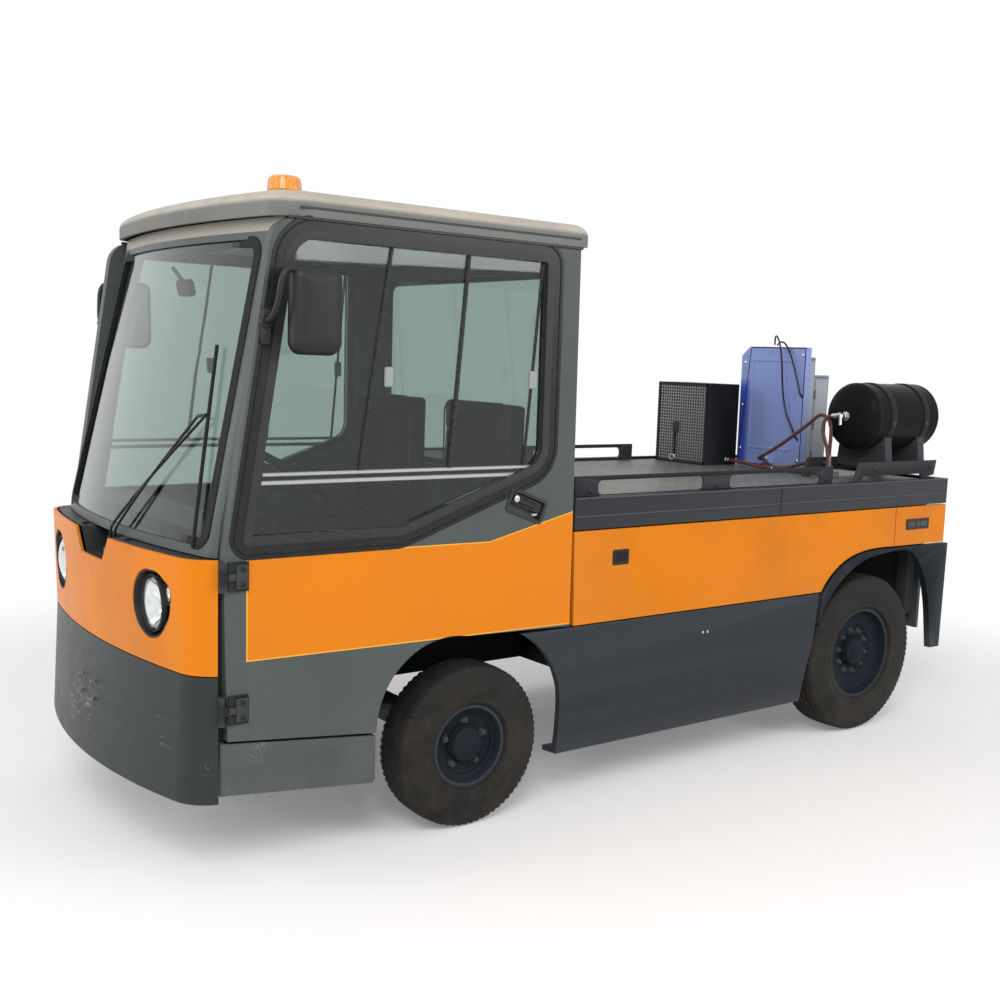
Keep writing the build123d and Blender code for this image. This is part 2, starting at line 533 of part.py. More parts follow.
def body_sides():
    """Orange side panels, dark sill covers, steps and rear fenders."""
    top = RIM_BOTTOM_Z - BODY_GAP
    front_x = CAB_REAR_X - 20
    seam_x = REAR_AXLE_X - 172
    arch_edge = [(-1008, SIDE_PANEL_BOTTOM_Z), (-1071, 778), (-1172, 841), (-1293, 874), (seam_x + 3, 882)]
    main_face = make_face(
        Polyline((seam_x + 3, 882), (seam_x + 3, top), (front_x, top), (front_x - 12, SIDE_PANEL_BOTTOM_Z), arch_edge[0])
        + Spline(*arch_edge)
    )
    main = across(main_face, SIDE_Y - SIDE_PANEL_T, SIDE_Y)
    quarter = across(polygon([
        (seam_x - 3, 882), (seam_x - 3, top), (BODY_REAR_X, top), (BODY_REAR_X, 880),
    ]), SIDE_Y - SIDE_PANEL_T, SIDE_Y)
    keep("side_panels", main, quarter, mirrored(main), mirrored(quarter))

    sill_top = SIDE_PANEL_BOTTOM_Z - BODY_GAP
    section = polygon([
        (SIDE_Y - 2, sill_top), (SIDE_Y, 470), (SIDE_Y - 36, SILL_BOTTOM_Z + 6), (SIDE_Y - 120, SILL_BOTTOM_Z),
        (SIDE_Y - 120, SILL_BOTTOM_Z + 20), (SIDE_Y - 60, SILL_BOTTOM_Z + 30), (SIDE_Y - 26, 470), (SIDE_Y - 28, sill_top),
    ])
    front_edge = Spline((690, sill_top), (600, 640), (525, 530), (492, 400), (482, 180))
    rear_edge = Spline((-1000, sill_top), (-984, 560), (-962, 400), (-945, 180))
    sill_face = make_face(
        front_edge + rear_edge + Line((690, sill_top), (-1000, sill_top)) + Line((482, 180), (-945, 180))
    )
    sill = along(section, -1100, 800) & across(sill_face, 500, SIDE_Y + 5)
    keep("sill_covers", sill, mirrored(sill))

    step = across(polygon([
        (NOSE_REAR_X - 4, 309), (NOSE_REAR_X - 4, 478), (ARCH_FRONT_X + 2, 416), (ARCH_FRONT_X + 2, 249),
    ], {3: 12}), SIDE_Y - 150, SIDE_Y - 2)
    step -= across(polygon([
        (NOSE_REAR_X - 24, 330), (NOSE_REAR_X - 24, 500), (ARCH_FRONT_X + 22, 430), (ARCH_FRONT_X + 22, 272),
    ]), SIDE_Y - 140, SIDE_Y - 14)
    step -= block(1000, 2000, 0, SIDE_Y - DOOR_T - 3, FLOOR_Z - 2, FLOOR_Z + 40)
    keep("side_steps", step, mirrored(step))

    outer = Spline(
        (-1014, SIDE_PANEL_BOTTOM_Z - 8), (-1077, 770), (-1176, 833), (-1296, 867), (seam_x, 874)
    )
    inner = Spline((-1004, 560), (-1130, 738), (-1320, 836), (-1500, 858), (-1650, 850), (-1790, 700), (-1850, 500), (-1876, 345))
    fender_face = make_face(
        outer + Polyline((seam_x, 874), (BODY_REAR_X - 28, 872), (BODY_REAR_X - 20, 345), (-1876, 345))
        + inner + Line((-1004, 560), (-1014, SIDE_PANEL_BOTTOM_Z - 8))
    )
    fender = across(fender_face, SIDE_Y - 26, SIDE_Y + 8)
    keep("rear_fenders", fender, mirrored(fender))


def deck():
    """Deck plate, its black rim, side rails with oblong openings and the rear tank frame."""
    keep("deck_plate", block(BODY_REAR_X + RIM_T + 1, CAB_REAR_X - 21 - RIM_T, -SIDE_Y + RIM_T + 1, SIDE_Y - RIM_T - 1,
                             DECK_Z - DECK_T, DECK_Z))
    rim_solid = block(BODY_REAR_X, CAB_REAR_X - 20, -SIDE_Y, SIDE_Y, RIM_BOTTOM_Z, RIM_TOP_Z)
    rim_solid -= block(BODY_REAR_X + RIM_T, CAB_REAR_X - 20 - RIM_T, -SIDE_Y + RIM_T, SIDE_Y - RIM_T, 1000, 1300)
    keep("deck_rim", rim_solid)
    rail_rear_x = FRONT_AXLE_X - 2004
    rail_front_x = CAB_REAR_X - 22 - RIM_T
    face = polygon([
        (rail_rear_x, DECK_Z), (rail_rear_x, DECK_Z + RAIL_H), (rail_front_x, DECK_Z + RAIL_H), (rail_front_x, DECK_Z),
    ])
    for x_low, x_high in ((-275, 300), (-1020, -432)):
        face -= Pos((x_low + x_high) / 2, DECK_Z + 40) * RectangleRounded(x_high - x_low, 56, 22)
    rail = across(face, SIDE_Y - RAIL_INSET, SIDE_Y - RAIL_INSET + RAIL_T)
    rear_face = polygon([
        (BODY_REAR_X + 44, DECK_Z), (BODY_REAR_X + 40, DECK_Z + 16), (BODY_REAR_X - 4, DECK_Z + 22),
        (BODY_REAR_X - 20, DECK_Z + 95), (-1335, DECK_Z + 95), (-1300, DECK_Z), (-1350, DECK_Z),
        (-1372, DECK_Z + 30), (BODY_REAR_X + 110, DECK_Z + 30), (BODY_REAR_X + 90, DECK_Z),
    ])
    cradle = across(rear_face, TANK_Y + 150, TANK_Y + 158) + across(rear_face, TANK_Y - 158, TANK_Y - 150)
    for x in (TANK_X - 130, TANK_X + 130):
        saddle = along(Pos(TANK_Y, 0) * polygon([(-150, DECK_Z + 60), (150, DECK_Z + 60), (130, 1420), (-130, 1420)]), x - 25, x + 25)
        cradle += saddle
    cradle -= rod((TANK_X - 400, TANK_Y, TANK_Z), (TANK_X + 400, TANK_Y, TANK_Z), TANK_R + 0.3)
    keep("deck_rails", rail, mirrored(rail), cradle)


TANK_X = FRONT_AXLE_X - 2600
TANK_Y = 505
TANK_Z = 1490
TANK_R = 160
TANK_LENGTH = 580


def equipment():
    """Air reservoir, mesh-fronted box, blue cabinet with control boxes and the beacon."""
    half = TANK_LENGTH / 2 - 70
    tank = rod((TANK_X - half, TANK_Y, TANK_Z), (TANK_X + half, TANK_Y, TANK_Z), TANK_R)
    dome = Pos(TANK_X, TANK_Y, TANK_Z) * Sphere(TANK_R)
    for direction in (-1, 1):
        tank += Pos(TANK_X + direction * half, TANK_Y, TANK_Z) * scale(Sphere(TANK_R - 0.2), by=(70 / TANK_R, 1, 1))
    keep("air_tank", tank)
    keep("mesh_box", block(-1500, -1260, -655, -280, DECK_Z, 1615))
    cabinet = along(polygon([(-365, DECK_Z), (80, DECK_Z), (80, 1820), (-310, 1820), (-365, 1772)]), -1640, -1600)
    keep("equipment_cabinet", cabinet)
    boxes = block(-1700, -1640, -340, 60, DECK_Z, 1763) + block(-1816, -1700, -340, 60, DECK_Z, 1672)
    keep("control_boxes", boxes)
    beacon = Pos(1433, 295, 0) * (Pos(0, 0, 2212) * Cylinder(70, 24) + Pos(0, 0, 2262) * Cylinder(62, 80))
    keep("beacon", beacon)


def rear():
    """Rear panel and the tow coupling with its lift-out pin."""
    panel = block(BODY_REAR_X - 4, BODY_REAR_X + 16, -SIDE_Y + 112, SIDE_Y - 112, 420, RIM_BOTTOM_Z - 4)
    keep("rear_panel", panel)
    plate_x = BODY_REAR_X - 4
    coupling = block(plate_x - 25, plate_x, -110, 110, 300, 560)
    for z in (310, 380, 450, 520):
        coupling += block(TAIL_X, plate_x, -75, 75, z, z + 22)
    coupling -= rod((TAIL_X + 40, 0, 200), (TAIL_X + 40, 0, 700), COUPLING_PIN_R + RUNNING_GAP)
    keep("tow_coupling", coupling)
    pin = rod((TAIL_X + 40, 0, 300), (TAIL_X + 40, 0, 560), COUPLING_PIN_R)
    pin += rod((TAIL_X + 40, 0, 543), (TAIL_X + 40, 0, 570), 26)
    keep("tow_pin", pin)


COUPLING_PIN_R = 15


def write():
    """One STEP file per node."""
    os.makedirs("parts", exist_ok=True)
    for name, solids in nodes.items():
        shape = solids[0] if len(solids) == 1 else Compound(solids)
        export_step(shape, "parts/" + name + ".step")


nose()
lamps()
cab()
hinges()
for side in ("left", "right"):
    door(side)
interior()
steering_wheel()
wheels()
front_axle()
rear_axle()
springs()
chassis()
body_sides()
deck()
equipment()
rear()
write()
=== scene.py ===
import bpy
import bmesh
import json
import math
from mathutils import Matrix, Vector


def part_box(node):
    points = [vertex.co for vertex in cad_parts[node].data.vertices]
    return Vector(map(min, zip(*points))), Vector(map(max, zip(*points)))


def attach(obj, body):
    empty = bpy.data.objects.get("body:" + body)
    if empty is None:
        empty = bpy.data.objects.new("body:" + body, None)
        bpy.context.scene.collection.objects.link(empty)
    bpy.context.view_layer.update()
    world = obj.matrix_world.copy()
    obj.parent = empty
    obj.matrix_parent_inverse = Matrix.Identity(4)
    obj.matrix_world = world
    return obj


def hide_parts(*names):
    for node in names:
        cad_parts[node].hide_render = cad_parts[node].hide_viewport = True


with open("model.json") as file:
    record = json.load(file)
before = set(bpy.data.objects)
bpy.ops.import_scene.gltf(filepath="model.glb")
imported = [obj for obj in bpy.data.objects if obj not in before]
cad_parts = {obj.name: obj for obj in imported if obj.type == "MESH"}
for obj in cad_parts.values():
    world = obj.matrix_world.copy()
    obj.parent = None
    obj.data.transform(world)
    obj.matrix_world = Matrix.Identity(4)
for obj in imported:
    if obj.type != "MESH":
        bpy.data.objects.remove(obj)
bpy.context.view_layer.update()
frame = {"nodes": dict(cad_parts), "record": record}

NODES = frame["nodes"]
BODIES = frame["record"]["behaviour"]["bodies"]
SLOT_OF = {part["node"]: part["material_slot"] for part in frame["record"]["subparts"]}

# Camera, from lines of the photograph that are level, upright or square on the real vehicle
CAMERA_PLACE = (3.32504, 4.22311, 1.70231)
CAMERA_YAW = 0.6653577
CAMERA_PITCH = 0.1333288
CAMERA_ROLL = 0.0356376
CAMERA_F = 1206.6
CAMERA_CENTRE = (545.35, 523.06)
PICTURE = 1000
SENSOR = 36.0

# Colours as linear light
SLATE = (0.088, 0.102, 0.100)
# Painted shade: darker slate for the shade and dark reflection on the lower nose
NOSE_PAINTED_SHADE = (0.028, 0.033, 0.034)
ORANGE = (0.78, 0.225, 0.006)
ORANGE_EDGE = (0.92, 0.46, 0.06)
BEIGE = (0.50, 0.46, 0.39)
HEADER = (0.34, 0.32, 0.28)
# Painted shade: the roof's sides, darker than its lit top
ROOF_SIDE_SHADE = (0.17, 0.17, 0.16)
NIGHT_BLUE = (0.010, 0.013, 0.020)
FENDER = (0.013, 0.016, 0.021)
BLACK = (0.010, 0.010, 0.011)
TRIM = (0.018, 0.018, 0.020)
RUBBER = (0.014, 0.0128, 0.0122)
RIM = (0.014, 0.018, 0.025)
BLUE = (0.065, 0.120, 0.600)
BOX_GREY = (0.42, 0.46, 0.50)
AMBER = (0.92, 0.33, 0.012)
RED = (0.50, 0.012, 0.010)
DUST = (0.20, 0.175, 0.14)
RUST = (0.11, 0.045, 0.02)
STEEL = (0.55, 0.55, 0.56)
HOSE = (0.15, 0.042, 0.028)
CLOTH = (0.012, 0.012, 0.013)

# Orange band on the doors: its lower edge falls from front to back, its top steps up at the window's corner
BAND_FRONT_X = 1.773
BAND_BASE = ((1.771, 0.733), (0.479, 0.716))
BAND_KNEE_X = 0.849
BAND_TOP_Z = 1.058
BAND_SLOPE_AHEAD = 0.0097
BAND_SLOPE_BEHIND = 0.24


def make_camera():
    """Camera at the photograph's viewpoint."""
    yaw, pitch = CAMERA_YAW, CAMERA_PITCH
    look = Vector((-math.sin(yaw) * math.cos(pitch), -math.cos(yaw) * math.cos(pitch), -math.sin(pitch)))
    right = look.cross(Vector((0, 0, 1))).normalized()
    up = right.cross(look)
    cos_roll, sin_roll = math.cos(CAMERA_ROLL), math.sin(CAMERA_ROLL)
    right, up = right * cos_roll + up * sin_roll, up * cos_roll - right * sin_roll
    data = bpy.data.cameras.new("photo_camera")
    data.sensor_width = SENSOR
    data.lens = SENSOR * CAMERA_F / PICTURE
    data.shift_x = (PICTURE / 2 - CAMERA_CENTRE[0]) / PICTURE
    data.shift_y = (CAMERA_CENTRE[1] - PICTURE / 2) / PICTURE
    data.clip_end = 100
    camera = bpy.data.objects.new("photo_camera", data)
    turn = Matrix((right, up, -look)).transposed()
    camera.matrix_world = Matrix.Translation(CAMERA_PLACE) @ turn.to_4x4()
    bpy.context.collection.objects.link(camera)
    bpy.context.scene.camera = camera


class Shade:
    """Node tree of one material, built link by link."""

    def __init__(self, name, surface="ShaderNodeBsdfPrincipled"):
        self.material = bpy.data.materials.new(name)
        self.material.use_nodes = True
        self.tree = self.material.node_tree
        self.tree.nodes.clear()
        self.output = self.tree.nodes.new("ShaderNodeOutputMaterial")
        self.surface = self.tree.nodes.new(surface)
        self.link(self.surface.outputs[0], self.output.inputs["Surface"])
        self.place = self.tree.nodes.new("ShaderNodeTexCoord").outputs["Object"]
        split = self.tree.nodes.new("ShaderNodeSeparateXYZ")
        self.link(self.place, split.inputs[0])
        self.x, self.y, self.z = split.outputs

    def link(self, source, target):
        self.tree.links.new(source, target)

    def put(self, socket, value):
        """Sets a socket to a number or colour, or links it to another socket."""
        if isinstance(value, bpy.types.NodeSocket):
            self.link(value, socket)
        elif isinstance(value, tuple) and len(value) == 3 and socket.type == "RGBA":
            socket.default_value = (*value, 1)
        else:
            socket.default_value = value

    def noise(self, scale, detail=3.0, rough=0.55, stretch=None):
        """Noise from 0 to 1, in object coordinates; stretch scales them by axis."""
        node = self.tree.nodes.new("ShaderNodeTexNoise")
        node.inputs["Scale"].default_value = scale
        node.inputs["Detail"].default_value = detail
        node.inputs["Roughness"].default_value = rough
        self.link(self.stretched(stretch), node.inputs["Vector"])
        return node.outputs["Fac"]

    def stretched(self, stretch):
        """Object coordinates, scaled by axis where stretch is given."""
        if stretch is None:
            return self.place
        node = self.tree.nodes.new("ShaderNodeVectorMath")
        node.operation = "MULTIPLY"
        self.link(self.place, node.inputs[0])
        node.inputs[1].default_value = stretch
        return node.outputs[0]

    def math(self, operation, a, b=0.0, clamp=False):
        node = self.tree.nodes.new("ShaderNodeMath")
        node.operation = operation
        node.use_clamp = clamp
        self.put(node.inputs[0], a)
        self.put(node.inputs[1], b)
        return node.outputs[0]

    def step(self, value, low, high):
        """0 below low, 1 above high, smooth between; low may be above high, which turns it round."""
        node = self.tree.nodes.new("ShaderNodeMapRange")
        node.interpolation_type = "SMOOTHSTEP"
        self.put(node.inputs["Value"], value)
        self.put(node.inputs["From Min"], low)
        self.put(node.inputs["From Max"], high)
        return node.outputs["Result"]

    def mix(self, share, a, b):
        node = self.tree.nodes.new("ShaderNodeMix")
        node.data_type = "RGBA"
        self.put(node.inputs["Factor"], share)
        self.put(node.inputs[6], a)
        self.put(node.inputs[7], b)
        return node.outputs[2]

    def edges(self, low=0.52, high=0.62):
        """1 on convex edges and 0 on flats."""
        shape = self.tree.nodes.new("ShaderNodeNewGeometry")
        return self.step(shape.outputs["Pointiness"], low, high)

    def bump(self, height, depth, strength=1.0, under=None):
        node = self.tree.nodes.new("ShaderNodeBump")
        node.inputs["Strength"].default_value = strength
        node.inputs["Distance"].default_value = depth
        self.put(node.inputs["Height"], height)
        if under is not None:
            self.link(under, node.inputs["Normal"])
        return node.outputs[0]

    def set(self, **values):
        """Sets or links the surface's sockets, named with _ for a space."""
        for name, value in values.items():
            self.put(self.surface.inputs[name.replace("_", " ")], value)
        return self


def weathered(shade, colour, roughness, metallic=0.0, variation=0.12, dust=0.25, dust_top=0.75,
              grain=0.0002, grain_scale=450, coat=0.0):
    """Painted or moulded surface: uneven colour, dust that gathers lower down, uneven gloss and a fine grain."""
    broad = shade.noise(2.3, 4)
    fine = shade.noise(38, 5)
    dark = shade.mix(shade.math("MULTIPLY", shade.step(broad, 0.35, 0.75), variation), colour, (0.0, 0.0, 0.0))
    pale = shade.mix(shade.math("MULTIPLY", shade.step(fine, 0.45, 0.8), variation * 0.5), dark, DUST)
    low = shade.step(shade.z, dust_top, 0.05)
    film = shade.math("MULTIPLY", low, shade.step(shade.noise(7, 6, 0.65), 0.3, 0.75))
    film = shade.math("MULTIPLY", film, dust, clamp=True)
    base = shade.mix(film, pale, DUST)
    rough = shade.math("MULTIPLY", shade.math("SUBTRACT", fine, 0.5), 0.22)
    rough = shade.math("ADD", rough, roughness)
    rough = shade.math("ADD", rough, shade.math("MULTIPLY", film, 0.5), clamp=True)
    normal = shade.bump(shade.noise(grain_scale, 2), grain)
    shade.set(Base_Color=base, Roughness=rough, Metallic=metallic, Normal=normal)
    if coat:
        shade.set(Coat_Weight=coat, Coat_Roughness=0.12)
    return shade


def paint(name, colour, roughness=0.36, dust=0.22, variation=0.14, dust_top=0.9, gloss=0.25):
    """Sprayed steel or fibreglass."""
    shade = weathered(Shade(name), colour, roughness, variation=variation, dust=dust, dust_top=dust_top,
                      grain=0.00012, grain_scale=700)
    return shade.set(Specular_IOR_Level=gloss)


def scratched(shade, amount, low_z, high_z, scale=34):
    """Light diagonal scratches between two heights."""
    lines = shade.noise(scale, 2, 0.5, stretch=(1.0, 0.12, 1.0))
    thin = shade.step(shade.math("ABSOLUTE", shade.math("SUBTRACT", lines, 0.5)), 0.012, 0.0)
    where = shade.step(shade.noise(4.0, 2), 0.5, 0.62)
    zone = shade.math("MULTIPLY", shade.step(shade.z, low_z, low_z + 0.06), shade.step(shade.z, high_z, high_z - 0.06))
    mask = shade.math("MULTIPLY", shade.math("MULTIPLY", thin, where), shade.math("MULTIPLY", zone, amount))
    return mask


def overlay(shade, mask, colour):
    """Lays a colour over what already feeds the surface's base colour."""
    socket = shade.surface.inputs["Base Color"]
    under = socket.links[0].from_socket
    shade.link(shade.mix(mask, under, colour), socket)


def door_paint():
    """Slate door with the orange band of the vehicle's side and dark hinge leaves."""
    shade = paint("door_paint", SLATE, dust=0.22, gloss=0.16)
    ahead = shade.math("ADD", shade.math("MULTIPLY", shade.math("SUBTRACT", shade.x, BAND_KNEE_X), BAND_SLOPE_AHEAD),
                       BAND_TOP_Z)
    behind = shade.math("ADD", shade.math("MULTIPLY", shade.math("SUBTRACT", BAND_KNEE_X, shade.x),
                                          BAND_SLOPE_BEHIND), BAND_TOP_Z)
    top = shade.math("MAXIMUM", ahead, behind)
    (x_front, z_front), (x_rear, z_rear) = BAND_BASE
    slope = (z_front - z_rear) / (x_front - x_rear)
    base = shade.math("ADD", shade.math("MULTIPLY", shade.math("SUBTRACT", shade.x, x_rear), slope), z_rear)

    def inside(margin):
        """1 in the band, drawn in by margin."""
        under = shade.step(shade.math("SUBTRACT", top, shade.z), margin, margin + 0.001)
        over = shade.step(shade.math("SUBTRACT", shade.z, base), margin, margin + 0.001)
        ahead_of = shade.step(shade.x, BAND_FRONT_X - margin, BAND_FRONT_X - margin - 0.001)
        return shade.math("MULTIPLY", shade.math("MULTIPLY", under, over), ahead_of)

    outer_face = shade.step(shade.math("ABSOLUTE", shade.y), 0.7455, 0.7465)
    fade = shade.noise(3.1, 4)
    orange = shade.mix(shade.math("MULTIPLY", shade.step(fade, 0.4, 0.75), 0.22), ORANGE, (0.62, 0.20, 0.03))
    overlay(shade, shade.math("MULTIPLY", inside(0.0), outer_face), ORANGE_EDGE)
    overlay(shade, shade.math("MULTIPLY", inside(0.004), outer_face), orange)
    proud = shade.step(shade.math("ABSOLUTE", shade.y), 0.7512, 0.7518)
    overlay(shade, proud, (0.022, 0.024, 0.025))
    return shade.material


def orange_paint():
    """Sun-faded orange with darker smears."""
    shade = paint("orange_paint", ORANGE, roughness=0.34, dust=0.08, variation=0.16, gloss=0.12)
    overlay(shade, shade.math("MULTIPLY", shade.step(shade.noise(1.6, 5, 0.6), 0.45, 0.7), 0.30), (0.60, 0.21, 0.045))
    specks = shade.step(shade.noise(95, 2), 0.76, 0.80)
    overlay(shade, shade.math("MULTIPLY", specks, 0.5), (0.12, 0.07, 0.04))
    return shade.material


def slate_paint():
    """Grey-green paint, scratched down to pale primer on the bumper, with the lower nose painted darker as shade and
    dark reflection.
    """
    shade = paint("slate_paint", SLATE, dust=0.20, gloss=0.16)
    # Painted shade and reflection: the lower front of the nose is darkened where it shows shade and mirrors dark
    # surroundings.
    lower_nose_shade = shade.math("MULTIPLY", shade.step(shade.x, 1.850, 1.860), shade.step(shade.z, 0.80, 0.76))
    overlay(shade, shade.math("MULTIPLY", lower_nose_shade, 0.90), NOSE_PAINTED_SHADE)
    header = shade.math("MULTIPLY", shade.step(shade.z, 2.074, 2.076), shade.step(shade.x, 1.400, 1.402))
    header = shade.math("MULTIPLY", header, shade.step(shade.math("ABSOLUTE", shade.y), 0.702, 0.700))
    overlay(shade, header, HEADER)
    overlay(shade, scratched(shade, 0.75, 0.36, 0.56), (0.36, 0.36, 0.34))
    chips = shade.math("MULTIPLY", shade.step(shade.noise(46, 3), 0.72, 0.76), shade.step(shade.z, 0.45, 0.30))
    overlay(shade, shade.math("MULTIPLY", chips, 0.85), (0.42, 0.42, 0.40))
    return shade.material


def dark_paint(name, colour, roughness=0.33, dust=0.04, chips=0.0):
    """Dark body paint, with pale chips where asked."""
    shade = paint(name, colour, roughness=roughness, dust=dust, variation=0.02, gloss=0.03)
    if chips:
        spots = shade.step(shade.noise(60, 3), 0.74, 0.78)
        overlay(shade, shade.math("MULTIPLY", spots, chips), (0.20, 0.20, 0.20))
    overlay(shade, shade.math("MULTIPLY", shade.edges(0.53, 0.66), 0.35), (0.16, 0.17, 0.18))
    return shade.material


def roof_paint():
    """Pale top with weathered streaks; the darker sides are painted shade."""
    shade = paint("roof_paint", ROOF_SIDE_SHADE, roughness=0.5, dust=0.0)
    # Painted light and shade: the top gets the pale lit colour, and the sides keep the darker painted shade.
    top = shade.step(shade.z, 2.158, 2.176)
    streaks = shade.step(shade.noise(9, 4, 0.6, stretch=(0.35, 1.6, 1.0)), 0.35, 0.75)
    beige = shade.mix(shade.math("MULTIPLY", streaks, 0.4), BEIGE, (0.27, 0.25, 0.22))
    overlay(shade, top, beige)
    return shade.material


def plastic(name, colour, roughness=0.5, grain=0.0003):
    """Moulded black plastic with a leathery grain."""
    shade = weathered(Shade(name), colour, roughness, variation=0.08, dust=0.12, grain=grain, grain_scale=900)
    overlay(shade, shade.math("MULTIPLY", shade.edges(0.54, 0.68), 0.4), (0.07, 0.07, 0.07))
    shade.set(Specular_IOR_Level=0.28)
    return shade.material


def metal(name, colour, roughness=0.35, rust=0.0, metallic=0.9):
    """Bare or plated metal, with rust in patches where asked."""
    shade = weathered(Shade(name), colour, roughness, metallic=metallic, variation=0.12, dust=0.15)
    if rust:
        patches = shade.math("MULTIPLY", shade.step(shade.noise(24, 6, 0.7), 0.5, 0.68), rust)
        overlay(shade, patches, RUST)
    overlay(shade, shade.math("MULTIPLY", shade.edges(), 0.5), (0.45, 0.45, 0.45))
    return shade.material


def rubber(name, colour=RUBBER, dust=0.14):
    """Dusty rubber."""
    shade = weathered(Shade(name), colour, 0.72, variation=0.10, dust=dust, dust_top=0.95, grain=0.0004,
                      grain_scale=420)
    shade.set(Specular_IOR_Level=0.2)
    return shade.material


def tread_steel():
    """Deck plate with raised lozenges in two directions, worn pale on their tops."""
    shade = weathered(Shade("tread_steel"), (0.13, 0.13, 0.125), 0.5, metallic=0.35, variation=0.25, dust=0.0)
    pitch = 70.0
    u = shade.math("MULTIPLY", shade.math("ADD", shade.x, shade.y), pitch)
    v = shade.math("MULTIPLY", shade.math("SUBTRACT", shade.x, shade.y), pitch)
    long_u = shade.math("MULTIPLY", shade.math("SINE", u), shade.math("SINE", shade.math("MULTIPLY", v, 0.5)))
    ridge = shade.step(long_u, 0.45, 0.75)
    normal = shade.bump(ridge, 0.0022)
    shade.link(normal, shade.surface.inputs["Normal"])
    overlay(shade, shade.math("MULTIPLY", ridge, 0.55), (0.30, 0.30, 0.285))
    overlay(shade, shade.math("MULTIPLY", shade.step(shade.noise(3, 5), 0.42, 0.7), 0.45), (0.24, 0.215, 0.17))
    return shade.material


def glass(name, tint=(0.47, 0.56, 0.52), roughness=0.012):
    """Clear tinted safety glass with a trace of dust."""
    shade = Shade(name)
    film = shade.step(shade.noise(5, 5, 0.6), 0.35, 0.8)
    rough = shade.math("ADD", shade.math("MULTIPLY", film, 0.02), roughness)
    shade.set(Base_Color=shade.mix(shade.math("MULTIPLY", film, 0.2), tint, (0.52, 0.58, 0.55)), Roughness=rough,
              IOR=1.45, Transmission_Weight=1.0)
    return shade.material


def lens(name, colour, glow=0.0):
    """Coloured moulded lens, ribbed inside."""
    shade = Shade(name)
    ribs = shade.math("SINE", shade.math("MULTIPLY", shade.z, 900.0))
    cells = shade.math("SINE", shade.math("MULTIPLY", shade.math("ADD", shade.x, shade.y), 520.0))
    tone = shade.mix(shade.step(shade.noise(60, 2), 0.3, 0.8), colour, tuple(part * 0.72 for part in colour))
    normal = shade.bump(shade.math("ADD", ribs, shade.math("MULTIPLY", cells, 0.4)), 0.0002)
    shade.set(Base_Color=tone, Roughness=0.14, Normal=normal, Subsurface_Weight=0.25, Subsurface_Scale=0.02,
              Coat_Weight=0.5)
    return shade.material


def chrome(name="chrome"):
    """Bright reflector metal, slightly tarnished."""
    shade = Shade(name)
    film = shade.step(shade.noise(40, 4), 0.4, 0.8)
    shade.set(Base_Color=shade.mix(film, (0.86, 0.86, 0.86), (0.70, 0.70, 0.69)),
              Roughness=shade.math("ADD", shade.math("MULTIPLY", film, 0.12), 0.08), Metallic=1.0)
    return shade.material


def fabric():
    """Woven seat cover."""
    shade = Shade("seat_weave")
    warp = shade.math("SINE", shade.math("MULTIPLY", shade.x, 2600.0))
    weft = shade.math("SINE", shade.math("MULTIPLY", shade.math("ADD", shade.y, shade.z), 2600.0))
    weave = shade.math("MULTIPLY", warp, weft)
    wear = shade.step(shade.noise(6, 4), 0.4, 0.75)
    tone = shade.mix(shade.math("MULTIPLY", wear, 0.4), CLOTH, (0.030, 0.030, 0.033))
    shade.set(Base_Color=tone, Roughness=0.9, Normal=shade.bump(weave, 0.00004), Specular_IOR_Level=0.1)
    return shade.material


def braided_hose():
    """Red-brown rubber hose with a fine spiral braid."""
    shade = weathered(Shade("hose_rubber"), HOSE, 0.45, variation=0.2, dust=0.2, dust_top=1.3)
    turns = shade.math("SINE", shade.math("MULTIPLY", shade.math("ADD", shade.x, shade.math("ADD", shade.y, shade.z)),
                                          1500.0))
    shade.link(shade.bump(turns, 0.0004), shade.surface.inputs["Normal"])
    return shade.material


def cabinet_paint():
    """Blue sheet steel with brown smears, painted lighter above and inboard as sunlight, with the darker left strip and
    lower corner as painted shade.
    """
    shade = paint("cabinet_paint", BLUE, roughness=0.42, dust=0.1)
    # Painted light: the lighter blue stands for sunlight on the face; where it is left off, the darker blue is painted
    # shade.
    inward = shade.step(shade.y, -0.325, -0.285)
    above = shade.step(shade.z, 1.60, 1.66)
    overlay(shade, shade.math("MULTIPLY", shade.math("MAXIMUM", inward, above), 0.85), (0.34, 0.43, 0.78))
    stains = shade.step(shade.noise(13, 6, 0.7), 0.60, 0.70)
    overlay(shade, shade.math("MULTIPLY", stains, 0.35), (0.12, 0.07, 0.06))
    return shade.material


